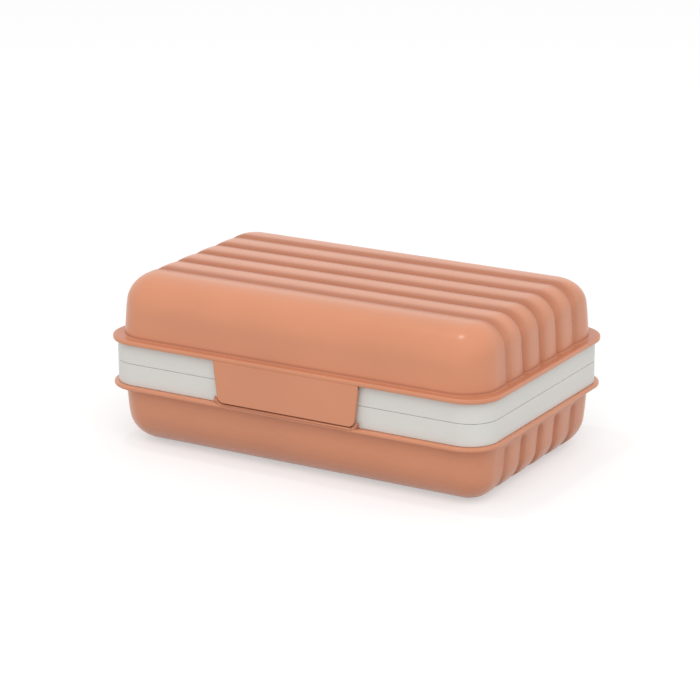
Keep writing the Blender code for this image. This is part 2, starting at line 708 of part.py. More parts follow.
def drain_tray(collection, helpers):
    """Slotted rack on four legs, with a low rim, ribs between its slots and a finger hole near each end."""
    edge = [(point.x, point.y) for point in tray_outline(0, TRAY_RIM_WIDTH / 2)]
    row = (SLOT_MIDDLE_WEB + SLOT_LENGTH) / 2
    farthest = FINGER_HOLE_X - FINGER_HOLE_RADIUS - SLOT_END_WEB - SLOT_WIDTH / 2
    gaps = int(2 * farthest / SLOT_PITCH)
    columns = [(n - gaps / 2) * SLOT_PITCH for n in range(gaps + 1)]
    slots = [slot_outline(x, y) for x in columns for y in (-row, row)]
    fingers = [
        arc_points(x, 0, FINGER_HOLE_RADIUS, 0, 360, 2 * ARC_STEPS)[:-1]
        for x in (-FINGER_HOLE_X, FINGER_HOLE_X)
    ]
    curve = flat_plate("drain_tray", edge, TRAY_PLATE_THICKNESS, collection)
    curve.location = (0, 0, TRAY_PLATE_HEIGHT + TRAY_PLATE_THICKNESS / 2)
    tray = mesh_from_curve(curve, collection)
    plate_top = TRAY_PLATE_HEIGHT + TRAY_PLATE_THICKNESS
    holes = bmesh.new()
    for points in slots + fingers:
        add_plug(holes, points, TRAY_PLATE_HEIGHT - CUT_OVERRUN, plate_top + CUT_OVERRUN)
    change(tray, "DIFFERENCE", helper(object_from("tray_holes", holes, helpers)))
    low = TRAY_PLATE_HEIGHT - TRAY_RIM_DROP
    high = plate_top + TRAY_RIM_RISE
    rows = ((low, 0), (high, 0), (high, TRAY_RIM_WIDTH), (low, TRAY_RIM_WIDTH))
    rim = bmesh.new()
    ring_mesh(rim, [tray_outline(height, depth) for height, depth in rows])
    change(tray, "UNION", helper(object_from("tray_rim", rim, helpers)))
    ribs = bmesh.new()
    reach = row + SLOT_LENGTH / 2
    height = plate_top + TRAY_RIB_RISE - TRAY_RIB_RADIUS
    for column in columns[1:]:
        x = column - SLOT_PITCH / 2
        front = Vector((x, -reach, height))
        rear = Vector((x, reach, height))
        add_rod(ribs, front, rear, TRAY_RIB_RADIUS, segments=ROUND_SEGMENTS // 2)
    change(tray, "UNION", helper(object_from("tray_ribs", ribs, helpers)))
    legs = bmesh.new()
    crest = VALLEYS[-1] - RIB_PITCH / 2
    for x in (-TRAY_LEG_X, TRAY_LEG_X):
        for y in (-crest, crest):
            foot = Vector((x, y, WALL + FIT_GAP))
            add_rod(legs, foot, Vector((x, y, TRAY_PLATE_HEIGHT + TRAY_PLATE_THICKNESS / 2)), TRAY_LEG_RADIUS)
    change(tray, "UNION", helper(object_from("tray_legs", legs, helpers)))
    return tray


def axis_empty(name, place, collection, parent=None):
    made = bpy.data.objects.new(name, None)
    made.empty_display_size = CASE_HEIGHT / 4
    made.location = place
    collection.objects.link(made)
    bpy.context.view_layer.update()
    if parent:
        attach(made, parent)
    return made


def attach(child, parent):
    """Parents a piece to an empty and leaves it where it is."""
    child.parent = parent
    child.matrix_parent_inverse = parent.matrix_world.inverted()


def main():
    for old in list(bpy.data.objects):
        bpy.data.objects.remove(old)
    scene = bpy.context.scene
    parts = bpy.data.collections.new("Covered soap dish")
    helpers = bpy.data.collections.new("Cutters and joined shapes")
    scene.collection.children.link(parts)
    scene.collection.children.link(helpers)

    lid = lid_shell(parts)
    base = base_shell(parts)
    upper_liner = lid_liner(parts)
    lower_liner = base_liner(parts)
    seal = lid_seal(parts)
    latch = front_latch(parts, helpers)
    tray = drain_tray(parts, helpers)
    pins = hinge_pins(parts)
    add_hinges(upper_liner, lower_liner, helpers)
    add_catch(lower_liner, helpers)
    add_bead(base, helpers)

    finish(lid, plastic("Lid terracotta", TERRACOTTA, 0.42))
    finish(base, plastic("Base terracotta", TERRACOTTA, 0.42))
    finish(latch, plastic("Latch terracotta", TERRACOTTA, 0.42))
    finish(upper_liner, plastic("Lid liner white", WARM_WHITE, 0.45))
    finish(lower_liner, plastic("Base liner white", WARM_WHITE, 0.45))
    finish(tray, plastic("Tray white", WARM_WHITE, 0.45))
    finish(seal, plastic("Seal silicone", SEAL_GREY, 0.6))
    for pin in pins:
        finish(pin, plastic(pin.name + " steel", STEEL, 0.3, metallic=1.0))

    lid_axis = axis_empty("lid_hinge_axis", (0, HINGE_Y, SEAM_HEIGHT), parts)
    latch_axis = axis_empty("latch_hinge_axis", (0, LATCH_FRONT_Y, LATCH_AXIS_HEIGHT), parts, lid_axis)
    for piece in (lid, upper_liner, seal):
        attach(piece, lid_axis)
    attach(latch, latch_axis)


main()
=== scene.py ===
"""Dresses a covered soap dish, a travel case shaped like a small ribbed suitcase, for a studio picture.

Metres, +Z up, with the case standing on the floor at zero, its length along X and its latch at -Y.
"""

import json
import math

import bmesh
import bpy
from bpy.props import FloatProperty, FloatVectorProperty, IntProperty, PointerProperty
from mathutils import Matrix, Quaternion, Vector


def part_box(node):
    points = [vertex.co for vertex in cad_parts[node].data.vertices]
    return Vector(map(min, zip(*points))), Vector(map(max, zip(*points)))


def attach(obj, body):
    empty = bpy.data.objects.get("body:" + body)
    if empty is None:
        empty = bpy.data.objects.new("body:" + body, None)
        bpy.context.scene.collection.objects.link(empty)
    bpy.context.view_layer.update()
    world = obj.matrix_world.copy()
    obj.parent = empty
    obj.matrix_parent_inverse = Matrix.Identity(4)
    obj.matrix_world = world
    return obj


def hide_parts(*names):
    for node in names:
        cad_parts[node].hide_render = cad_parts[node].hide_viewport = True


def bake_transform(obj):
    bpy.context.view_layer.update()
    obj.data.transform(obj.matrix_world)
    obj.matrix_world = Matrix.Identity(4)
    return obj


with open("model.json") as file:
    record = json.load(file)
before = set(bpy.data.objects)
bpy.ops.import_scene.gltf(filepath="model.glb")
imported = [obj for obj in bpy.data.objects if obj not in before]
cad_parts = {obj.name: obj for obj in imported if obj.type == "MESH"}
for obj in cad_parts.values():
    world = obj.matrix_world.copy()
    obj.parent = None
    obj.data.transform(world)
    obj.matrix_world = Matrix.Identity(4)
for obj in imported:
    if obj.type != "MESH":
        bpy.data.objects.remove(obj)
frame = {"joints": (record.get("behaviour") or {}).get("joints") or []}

bl_info = {
    "name": "Covered soap dish",
    "version": (1, 0, 0),
    "blender": (4, 5, 0),
    "location": "View3D > Sidebar > Soap dish",
    "description": "Builds the finished surfaces of a ribbed travel soap case",
    "category": "Add Mesh",
}

LID_LOW, LID_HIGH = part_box("lid_shell")
SEAL_LOW, SEAL_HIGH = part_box("lid_seal")
LATCH_LOW, LATCH_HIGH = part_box("front_latch")
TRAY_LOW, TRAY_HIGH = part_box("drain_tray")
PIN_LOW, PIN_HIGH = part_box("hinge_pin_right")
BASE_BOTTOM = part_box("base_shell")[0].z
LID_BAND_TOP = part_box("lid_liner")[1].z
BASE_BAND_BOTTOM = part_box("base_liner")[0].z
JOINTS = {joint["name"]: joint for joint in frame["joints"]}
HINGE = Vector(JOINTS["lid_hinge"]["pos_m"])

HALF_LENGTH = LID_HIGH.x
HALF_WIDTH = LID_HIGH.y
SEAM = HINGE.z
SMOOTH_ANGLE = math.radians(40)


def length(name, description, default):
    return FloatProperty(name=name, description=description, default=default, unit="LENGTH")


def share(name, description, default):
    return FloatProperty(name=name, description=description, default=default)


def colour(name, description, default):
    return FloatVectorProperty(
        name=name, description=description, default=default, subtype="COLOR", min=0, max=1
    )


class SoapCaseSizes(bpy.types.PropertyGroup):
    """Sizes of the case that can be set by themselves, in metres."""

    wall: length("Wall", "Thickness of the moulded shells", 0.0016)
    fit_gap: length("Fit gap", "Room between neighbouring pieces", 0.0003)
    flange_corner: length("Flange corner", "Corner radius of the lid's flange", 0.0100)
    body_corner: length("Body corner", "Corner radius that the walls are drawn in from", 0.0123)
    lid_flange: length("Lid flange", "Thickness of the lid's flange", 0.0013)
    base_flange: length("Base flange", "Thickness of the base's flange", 0.0011)
    base_flange_inset: length("Base flange inset", "How far the base's flange lies inside the lid's", 0.0001)
    flange_round: length("Flange round", "Radius along the flanges' edges", 0.00042)
    lid_foot_inset: length("Lid foot inset", "From the flange's edge to the lid's wall", 0.0024)
    base_foot_inset: length("Base foot inset", "From the lid's flange to the base's wall", 0.0025)
    band_inset: length("Band inset", "From the lid's flange to the white band", 0.0017)
    band_end_inset: length("Band end inset", "The same at the ends", 0.00125)
    band_corner: length("Band corner", "Corner radius of the white band", 0.0083)
    band_rear_inset: length("Band rear inset", "The same at the rear, behind the hinges", 0.0020)
    base_band_height: length("Base band height", "From the seam down to the base's flange", 0.0062)
    draft_share: share("Draft", "How far the walls lean in for each unit of height", 0.08)
    lid_fillet: length("Lid fillet", "Radius between the lid's front and rear walls and its top", 0.0103)
    lid_end_fillet: length("Lid end fillet", "Radius between the lid's ends and its top", 0.0074)
    base_fillet: length("Base fillet", "Radius between the base's long walls and its underside", 0.0120)
    base_end_fillet: length("Base end fillet", "Radius between the base's ends and its underside", 0.0085)
    lid_flat_corner: length("Lid flat corner", "Corner radius of the flat top", 0.0026)
    base_flat_corner: length("Base flat corner", "Corner radius of the flat underside", 0.0008)
    foot_cove: length("Foot cove", "Radius between the walls and the flanges", 0.00035)
    rib_pitch: length("Rib pitch", "From one valley to the next", 0.0099)
    rib_depth: length("Rib depth", "Depth of the creases between the ribs", 0.0012)
    rib_pillow: length("Rib pillow", "How far the ribs' edges lie below their crests", 0.00035)
    crease_reach: length("Crease reach", "Half width of the creases between the ribs", 0.0016)
    outer_depth_share: share("Outer depth share", "Depth of the outermost creases, by the others'", 0.55)
    rib_reach: length("Rib reach", "Half width of a valley, from its line to the rib's crest", 0.004653)
    rib_shoulder: length("Rib shoulder", "Half width of the outermost valleys, on their outer side", 0.0022)
    valley_round: length("Valley round", "Rounding at the bottom of the valleys", 0.00022)
    valleys_a_side: IntProperty(
        name="Valleys a side", description="Valleys on each side of the middle one", default=2, min=0
    )
    base_valley_start: length("Base valley start", "From the base's flange down to the valleys", 0.0016)
    base_valley_fade: length("Base valley fade", "Height over which the base's valleys deepen", 0.0022)
    latch_thickness: length("Latch thickness", "Thickness of the latch's tab", 0.0010)
    latch_corner: length("Latch corner", "Radius of the tab's lower corners", 0.0020)
    latch_taper: length("Latch taper", "How far each side of the tab draws in down to its foot", 0.0011)
    bead_radius: length("Bead radius", "Radius of the bead round the latch's lower edge", 0.0005)
    opening_inset: length("Opening inset", "From the lid's flange to the opening of the bands", 0.0076)
    spigot: length("Spigot", "Thickness of the bands' spigots", 0.0012)
    knuckle_radius: length("Knuckle radius", "Radius of the hinge knuckles", 0.0017)
    base_knuckle: length("Base knuckle", "Length of the base's hinge knuckle", 0.0080)
    lid_knuckle: length("Lid knuckle", "Length of each of the lid's hinge knuckles", 0.0056)
    tray_plate: length("Tray plate", "Thickness of the drain tray's plate", 0.0016)
    slot_width: length("Slot width", "Width of the tray's slots", 0.0032)
    slot_length: length("Slot length", "Length of the tray's slots", 0.0210)
    slot_pitch: length("Slot pitch", "From one slot to the next", 0.0078)


class SoapCaseColours(bpy.types.PropertyGroup):
    """Colours of the mouldings."""

    terracotta: colour("Terracotta", "The shells and the latch", (0.634, 0.257, 0.139))
    warm_white: colour("Warm white", "The band and the drain tray", (0.690, 0.680, 0.645))
    seal_grey: colour("Seal grey", "The silicone seal", (0.72, 0.72, 0.70))
    steel: colour("Steel", "The hinge pins", (0.56, 0.57, 0.58))


def sizes():
    return bpy.context.scene.soap_case_sizes


def colours():
    return bpy.context.scene.soap_case_colours


# Fineness of the meshes
CORNER_STEPS = 20
FILLET_STEPS = 18
EDGE_STEPS = 4
NOSE_STEPS = 4
LIVING_HINGE_STEPS = 9
BAR_SIDES = 32
BEAD_SIDES = 20
RACK_RIB_SIDES = 24
HOLE_SIDES = 64
CREASE_SHARES = (0.07, 0.15, 0.25, 0.37, 0.5, 0.65, 0.82, 1.0)
PILLOW_SHARES = (0.42, 0.5, 0.58, 0.68, 0.82, 1.0)
LATCH_SIDE_SHARES = (0.2, 0.4, 0.6, 0.8, 0.97)
SUPPORT_SHARE = 1.4
COVE_SHARES = (SUPPORT_SHARE, 2.2, 3.0)
ROUNDING_SHARE = 0.42
NOSE_TIP_SHARE = 0.02
WELD_REACH = 0.000001
LEVEL_WEIGHT = 80
RIB_SIZES = (
    "rib_pitch", "rib_depth", "outer_depth_share", "rib_pillow", "crease_reach", "rib_reach", "rib_shoulder",
    "valley_round",
)

# Details of the pieces
LOOSE_GAP = 0.00005
CUT_OVERRUN = 0.001
BEAD_END_DEGREES = 15.0
SEAM_HALF = 0.00005
SEAL_WIDTH = 0.0016
SEAL_ROUND = 0.0004
TONGUE_HALF = 0.0006
LIP_THICKNESS = 0.0015
BAND_ROUND = 0.00012
KNUCKLE_SIDE_GAP = 0.00035
KNUCKLE_NOSE = 0.0003
ROOM_NOSE = 0.0002
BORE_NOSE = 0.0001
PIN_NOSE = 0.00012
CATCH_HALF = 0.010
CATCH_RADIUS = 0.00045
CATCH_HEIGHT = 0.0200
LIP_RADIUS = 0.00030
LIVING_HINGE_HEIGHT = 0.0008
LIVING_HINGE_THICKNESS = 0.0005
LATCH_EDGE = 0.00022
TRAY_RIM_WIDTH = 0.0014
TRAY_RIM_RISE = 0.0014
TRAY_RIM_DROP = 0.0003
TRAY_CORNER = 0.0076
TRAY_ROUND = 0.0004
TRAY_HOLE_ROUND = 0.0002
SLOT_COLUMNS = 9
SLOT_WEB = 0.0044
FINGER_X = 0.0420
FINGER_RADIUS = 0.0060
RACK_RIB_RADIUS = 0.0008
RACK_RIB_RISE = 0.0006
LEG_RADIUS = 0.0020
LEG_NOSE = 0.0004
LEG_X = 0.0430

# Finishes
TERRACOTTA_ROUGHNESS = 0.24
WHITE_ROUGHNESS = 0.42
SEAL_ROUGHNESS = 0.55
STEEL_ROUGHNESS = (0.24, 0.34)
GLOSS_SPREAD = (-0.015, 0.02)
TERRACOTTA_FLOW = 0.04
WHITE_FLOW = 0.012
SEAL_FLOW = 0.01
NOISE_MIDDLE = (0.3, 0.7)
NOISE_DETAIL = 3.0
FLOW_SCALE = 34.0
GLOSS_SCALE = 160.0
TEXTURE_SCALE = 3800.0
TEXTURE_DETAIL = 2.0
TEXTURE_STRENGTH = 0.015
TEXTURE_DEPTH = 0.00005
PLASTIC_IOR = 1.46
SEAL_SCATTER = 0.3
SEAL_SCATTER_REACH = 0.001
WIRE_LINES_SCALE = 1500.0
WIRE_LINES_WANDER = 2.0
# Painted shade in the valleys between the ribs, weaker on the ends, and in a line at the foot of each wall
PAINTED_SHADE_TINT = (0.70, 0.64, 0.64)
GROOVE_DULLNESS = 0.26
END_SHADE_SHARE = 0.42
SHADE_START_SHARE = 0.35
SHADE_END_SHARE = 2.5
# A line of painted shade at the foot of each wall: its height off the flange and how far it reaches
FOOT_SHADE_LINE = 0.0004
FOOT_SHADE_REACH = 0.00065

# Stage
AIM = Vector((0, 0, 0.025))
CAMERA_AZIMUTH = 30.34
CAMERA_ELEVATION = 17.32
CAMERA_DISTANCE = 0.7408
CAMERA_ROLL = -0.12
CAMERA_LENS = 137.6
CAMERA_SENSOR = 36.0
CAMERA_NEAR = 0.01
CAMERA_SHIFT = (-0.0091, 0.0071)
FLOOR_REACH = 4.0
FLOOR_WHITE = 0.62
FLOOR_SHADE = 0.52
FLOOR_GLOW = 0.49
WALLS_LIGHT = 0.86
OVERHEAD_PLACE = (0.46, -0.72, 1.0)
OVERHEAD_SIZE = (0.9, 0.9)
OVERHEAD_POWER = 5.2
SMALL_LAMP_PLACE = (-0.110, -0.080, 0.623)
SMALL_LAMP_SIZE = (0.02, 0.06)
SMALL_LAMP_POWER = 0.30


def lid_flange_top():
    return LID_LOW.z + sizes().lid_flange


def base_flange_top():
    return SEAM - sizes().base_band_height


def base_flange_bottom():
    return base_flange_top() - sizes().base_flange


def tray_plate_top():
    return TRAY_HIGH.z - TRAY_RIM_RISE


def lid_inset(height):
    """How far the lid's wall lies inside the flange's edge at a height."""
    return sizes().lid_foot_inset + sizes().draft_share * max(0, height - lid_flange_top())


def base_inset(height):
    """How far the base's wall lies inside the lid's flange at a height."""
    return sizes().base_foot_inset + sizes().draft_share * max(0, base_flange_bottom() - height)


def body_radius(inset):
    return sizes().body_corner - inset


def latch_foot_half():
    return LATCH_HIGH.x - sizes().latch_taper


def valleys():
    s = sizes()
    return [n * s.rib_pitch for n in range(-s.valleys_a_side, s.valleys_a_side + 1)]


def quarter(steps):
    """Angles from nothing to a right angle."""
    return [math.pi / 2 * step / steps for step in range(steps + 1)]


def rib_stations():
    """Y of the points along an end, close together near the valleys."""
    s = sizes()
    lines = valleys()
    crease = [s.crease_reach * part for part in CREASE_SHARES]
    inner = crease + [s.rib_reach * part for part in PILLOW_SHARES]
    outer = crease + [s.rib_shoulder]
    places = set(lines)
    for line in lines:
        places.update(line - reach for reach in (outer if line == lines[0] else inner))
        places.update(line + reach for reach in (outer if line == lines[-1] else inner))
    return sorted(places)


def arc(x, y, radius, start, turn, height):
    """Points along an arc, anticlockwise through a turn from a start, both in degrees."""
    angles = [math.radians(start + turn * step / CORNER_STEPS) for step in range(CORNER_STEPS + 1)]
    return [Vector((x + radius * math.cos(a), y + radius * math.sin(a), height)) for a in angles]


def plan(height, inset, radius, end_extra=0.0, rear_extra=0.0, stations=(), stops=()):
    """Points of a rounded rectangle at a height, anticlockwise from the front of the +X end. Stations are
    points along the ends, and stops are points along the front."""
    end = HALF_LENGTH - inset - end_extra
    front = inset - HALF_WIDTH
    rear = HALF_WIDTH - inset - rear_extra
    points = arc(end - radius, front + radius, radius, -90, 90, height)
    points += [Vector((end, y, height)) for y in stations]
    points += arc(end - radius, rear - radius, radius, 0, 90, height)
    points += arc(radius - end, rear - radius, radius, 90, 90, height)
    points += [Vector((-end, y, height)) for y in reversed(stations)]
    points += arc(radius - end, front + radius, radius, 180, 90, height)
    return points + [Vector((x, front, height)) for x in stops]


def sinking(points, slope=0.0, part=0.0):
    """Each point of an outline with how far and which way it sinks into the valleys."""
    down = Vector((0, 0, -math.sin(slope)))
    return [(p, (Vector((-math.copysign(math.cos(slope), p.x), 0, 0)) + down) * part) for p in points]


def join(bm, loops):
    """Faces between each loop of points and the next."""
    for low, high in zip(loops, loops[1:]):
        for i in range(len(low)):
            after = (i + 1) % len(low)
            bm.faces.new((low[i], low[after], high[after], high[i]))


def cap(bm, loop, stops, facing_up):
    """Strips along the case that close an outline, with its stops in the first of them."""
    sides = loop[: len(loop) - stops]
    half = len(sides) // 2
    right = sides[:half]
    left = sides[half:][::-1]
    for i in range(half - 1):
        corners = [right[i], right[i + 1], left[i + 1], left[i]]
        if i == 0:
            corners += loop[len(sides):]
        bm.faces.new(corners if facing_up else corners[::-1])


def ribbed(name, rows, stops, foot):
    """A shell through outlines, closed at the first and the last of them, with its valleys sunk, and painted
    shade marked in its valleys and along the line at its foot.
    """
    bm = bmesh.new()
    sink = bm.verts.layers.float_vector.new("sink")
    loops = []
    for row in rows:
        loops.append([bm.verts.new(point) for point, way in row])
        for vertex, (point, way) in zip(loops[-1], row):
            vertex[sink] = way
    join(bm, loops)
    cap(bm, loops[0], stops, facing_up=False)
    cap(bm, loops[-1], stops, facing_up=True)
    return sink_valleys(object_from(name, bm), terracotta(), foot)


def loft(name, outlines, closed=False):
    """A mesh through outlines, closed at the first and the last, unless the last runs on into the first."""
    bm = bmesh.new()
    loops = [[bm.verts.new(point) for point in outline] for outline in outlines]
    if closed:
        join(bm, loops + loops[:1])
    else:
        join(bm, loops)
        cap(bm, loops[0], 0, facing_up=False)
        cap(bm, loops[-1], 0, facing_up=True)
    bmesh.ops.recalc_face_normals(bm, faces=bm.faces)
    return object_from(name, bm)


def link(made):
    bpy.context.scene.collection.objects.link(made)
    return made


def object_from(name, bm):
    mesh = bpy.data.meshes.new(name)
    bm.to_mesh(mesh)
    bm.free()
    return link(bpy.data.objects.new(name, mesh))


def settled(made):
    """A plain mesh object in place of one with modifiers, at the origin."""
    bpy.context.view_layer.update()
    name = made.name
    seen = made.evaluated_get(bpy.context.evaluated_depsgraph_get())
    mesh = bpy.data.meshes.new_from_object(seen)
    mesh.transform(made.matrix_world)
    bpy.data.objects.remove(made)
    mesh.name = name
    return link(bpy.data.objects.new(name, mesh))


def change(made, operation, tool):
    """Cuts or joins with a helper shape, which is then removed."""
    modifier = made.modifiers.new(operation.title(), "BOOLEAN")
    modifier.operation = operation
    modifier.solver = "EXACT"
    modifier.object = tool
    changed = settled(made)
    bpy.data.objects.remove(tool)
    return changed


def round_edges(made, width):
    modifier = made.modifiers.new("Round edges", "BEVEL")
    modifier.width = width
    modifier.segments = 2
    modifier.limit_method = "ANGLE"
    modifier.angle_limit = SMOOTH_ANGLE
    modifier.use_clamp_overlap = True
    return settled(made)


def dress(made, material, level=False):
    """Gives a piece its material and its smooth shading. Level keeps wide flat faces even beside narrow
    rounded ones."""
    made.data.materials.clear()
    made.data.materials.append(material)
    made.data.shade_smooth()
    made.data.set_sharp_from_angle(angle=SMOOTH_ANGLE)
    if level:
        modifier = made.modifiers.new("Level normals", "WEIGHTED_NORMAL")
        modifier.keep_sharp = True
        modifier.weight = LEVEL_WEIGHT
        made = settled(made)
    return made


class Value:
    """A number that a tree's nodes work out, and that stands in a sum as other numbers do."""

    def __init__(self, nodes, socket):
        self.nodes = nodes
        self.socket = socket

    def work(self, operation, *others):
        return self.nodes.sum(operation, self, *others)

    def __add__(self, other):
        return self.work("ADD", other)

    def __sub__(self, other):
        return self.work("SUBTRACT", other)

    def __rsub__(self, other):
        return self.nodes.sum("SUBTRACT", other, self)

    def __mul__(self, other):
        return self.work("MULTIPLY", other)

    def __truediv__(self, other):
        return self.work("DIVIDE", other)

    def __abs__(self):
        return self.work("ABSOLUTE")


class Nodes:
    """Adds nodes to a tree. An input is set to a value, or linked to a socket or to a node's first output."""

    def __init__(self, tree):
        self.tree = tree

    def add(self, kind, *values, settings=None, **named):
        made = self.tree.nodes.new(kind)
        for label, value in (settings or {}).items():
            setattr(made, label, value)
        for socket, value in zip(made.inputs, values):
            self.feed(socket, value)
        for label, value in named.items():
            self.feed(made.inputs[label.replace("_", " ")], value)
        return made

    def feed(self, socket, value):
        if isinstance(value, Value):
            value = value.socket
        elif isinstance(value, bpy.types.Node):
            value = value.outputs[0]
        if isinstance(value, bpy.types.NodeSocket):
            self.tree.links.new(value, socket)
        else:
            socket.default_value = value

    def sum(self, operation, *values):
        return Value(self, self.add("ShaderNodeMath", *values, settings={"operation": operation}).outputs[0])


class Tree(Nodes):
    """A Geometry Nodes tree with named inputs, written from left to right."""

    def __init__(self, name, floats=(), integers=()):
        super().__init__(bpy.data.node_groups.new(name, "GeometryNodeTree"))
        self.tree.is_modifier = True
        kinds = [("Geometry", "Geometry"), ("Material", "Material")]
        kinds += [(label, "Float") for label in floats] + [(label, "Int") for label in integers]
        for label, kind in kinds:
            self.tree.interface.new_socket(label, in_out="INPUT", socket_type="NodeSocket" + kind)
        self.tree.interface.new_socket("Geometry", in_out="OUTPUT", socket_type="NodeSocketGeometry")
        self.start = self.add("NodeGroupInput")

    def input(self, label):
        return Value(self, self.start.outputs[label])

    def finish(self, geometry):
        whole = self.add("GeometryNodeRealizeInstances", Geometry=geometry)
        painted = self.add("GeometryNodeSetMaterial", Geometry=whole, Material=self.input("Material"))
        self.add("NodeGroupOutput", painted)
        return self.tree


def run_tree(made, name, make, material, **values):
    """Runs a tree on an object with its inputs set by name, and keeps the result as a plain mesh."""
    modifier = made.modifiers.new(name, "NODES")
    modifier.node_group = bpy.data.node_groups.get(name) or make(name)
    values["material"] = material
    for item in modifier.node_group.interface.items_tree:
        label = item.name.lower().replace(" ", "_")
        if item.in_out == "INPUT" and label in values:
            modifier[item.identifier] = values[label]
    return settled(made)


def rib_tree(name):
    """Sinks a smooth shell into round-bottomed valleys along X, by the sink that each point carries, and
    marks how much painted shade the valleys and the line at the foot of the wall get."""
    t = Tree(name, floats=RIB_SIZES + ("outermost", "foot", "foot_reach"))
    pitch, depth, outer_share, pillow, crease, rib_reach, shoulder, rounding = map(t.input, RIB_SIZES)
    outermost = t.input("outermost")

    def fade(distance, end):
        return (1.0 - distance / end).work("MAXIMUM", 0.0)

    place = t.add("ShaderNodeSeparateXYZ", t.add("GeometryNodeInputPosition"))
    y = Value(t, place.outputs["Y"])
    nearest = (y / pitch).work("ROUND") * pitch
    nearest = nearest.work("MINIMUM", outermost).work("MAXIMUM", outermost * -1.0)
    away = y - nearest
    away = (away * away + rounding * rounding).work("SQRT") - rounding
    beyond = abs(y).work("GREATER_THAN", outermost)
    wide = fade(away, rib_reach + beyond * (shoulder - rib_reach))
    narrow = fade(away, crease)
    shallow = abs(nearest).work("GREATER_THAN", outermost - rounding)
    deeper = depth + shallow * (depth * outer_share - depth) - pillow
    drop = wide * wide * pillow + narrow * narrow * deeper
    named = t.add("GeometryNodeInputNamedAttribute", settings={"data_type": "FLOAT_VECTOR"}, Name="sink")
    sink = named.outputs["Attribute"]
    shift = t.add("ShaderNodeVectorMath", sink, settings={"operation": "SCALE"}, Scale=drop)
    way = t.add("ShaderNodeSeparateXYZ", sink)
    # Painted shade: darkest along each valley, fading out to both sides, and weaker on the ends than on the
    # flat faces
    steep = abs(Value(t, way.outputs["X"])) * END_SHADE_SHARE
    shade = t.add(
        "ShaderNodeMapRange",
        settings={"interpolation_type": "SMOOTHSTEP"},
        Value=away,
        From_Min=crease * SHADE_END_SHARE,
        From_Max=crease * SHADE_START_SHARE,
    )
    groove = abs(Value(t, way.outputs["Z"])).work("MAXIMUM", steep) * shade
    # Painted shade along the foot of the wall, where it leaves the flange
    line = fade(abs(t.input("foot") - place.outputs["Z"]), t.input("foot_reach"))
    # The groove attribute carries the painted shade to the material
    marked = t.add(
        "GeometryNodeStoreNamedAttribute",
        settings={"data_type": "FLOAT", "domain": "POINT"},
        Geometry=t.start,
        Name="groove",
        Value=groove.work("MAXIMUM", line),
    )
    moved = t.add("GeometryNodeSetPosition", Geometry=marked, Offset=shift)
    return t.finish(t.add("GeometryNodeRemoveAttribute", Geometry=moved, Name="sink"))


def sink_valleys(made, material, foot):
    values = {name: getattr(sizes(), name) for name in RIB_SIZES}
    # Painted shade in a line at the foot height, fading out within its reach
    values.update(outermost=valleys()[-1], foot=foot, foot_reach=FOOT_SHADE_REACH)
    return run_tree(made, "Valleys between ribs", rib_tree, material, **values)


def copies_tree(name):
    """A grid of copies of a piece, with a number of columns and rows and the steps between them."""
    t = Tree(name, floats=("column_step", "row_step"), integers=("columns", "rows"))
    columns, rows = t.input("columns"), t.input("rows")
    across = (columns - 1.0) * t.input("column_step")
    along = (rows - 1.0) * t.input("row_step")
    points = t.add("GeometryNodeMeshToPoints", t.add("GeometryNodeMeshGrid", across, along, columns, rows))
    return t.finish(t.add("GeometryNodeInstanceOnPoints", Points=points, Instance=t.start))


def copies(made, material, columns, rows, column_step, row_step):
    steps = {"column_step": column_step, "row_step": row_step}
    return run_tree(made, "Grid of copies", copies_tree, material, columns=columns, rows=rows, **steps)


def bar_tree(name):
    """Round bars along paths, each as thick at a point as the path's own girth there says."""
    t = Tree(name, floats=("radius",), integers=("sides",))
    path = t.add("GeometryNodeMeshToCurve", t.start)
    girth = t.add("GeometryNodeInputNamedAttribute", settings={"data_type": "FLOAT"}, Name="girth")
    section = t.add("GeometryNodeCurvePrimitiveCircle", Resolution=t.input("sides"), Radius=t.input("radius"))
    bar = t.add(
        "GeometryNodeCurveToMesh",
        Curve=path,
        Profile_Curve=section,
        Scale=girth.outputs["Attribute"],
        Fill_Caps=True,
    )
    return t.finish(t.add("GeometryNodeRemoveAttribute", Geometry=bar, Name="girth"))


def round_bars(name, paths, radius, material, nose=None, sides=BAR_SIDES):
    """Round bars along paths, with their ends rounded off by the nose's radius."""
    nose = radius if nose is None else nose
    shape = []
    for angle in quarter(NOSE_STEPS):
        thin = max(1 - nose / radius * (1 - math.sin(angle)), NOSE_TIP_SHARE)
        shape.append((nose * (1 - math.cos(angle)), thin))
    bm = bmesh.new()
    girth = bm.verts.layers.float.new("girth")
    for path in paths:
        start = (path[1] - path[0]).normalized()
        end = (path[-2] - path[-1]).normalized()
        points = [(path[0] + start * along, thin) for along, thin in shape]
        points += [(point, 1.0) for point in path[1:-1]]
        points += [(path[-1] + end * along, thin) for along, thin in reversed(shape)]
        line = [bm.verts.new(point) for point, thin in points]
        for vertex, (point, thin) in zip(line, points):
            vertex[girth] = thin
        for pair in zip(line, line[1:]):
            bm.edges.new(pair)
    made = object_from(name, bm)
    return welded(run_tree(made, "Round bars along paths", bar_tree, material, radius=radius, sides=sides))


def straight(start, end):
    """A path from one place to another, with a point in its middle."""
    return [Vector(start).lerp(Vector(end), part) for part in (0.0, 0.5, 1.0)]


def welded(made):
    """The same mesh with its doubled points merged and its faces turned outwards."""
    bm = bmesh.new()
    bm.from_mesh(made.data)
    bmesh.ops.remove_doubles(bm, verts=bm.verts, dist=WELD_REACH)
    bmesh.ops.recalc_face_normals(bm, faces=bm.faces)
    bm.to_mesh(made.data)
    bm.free()
    return made


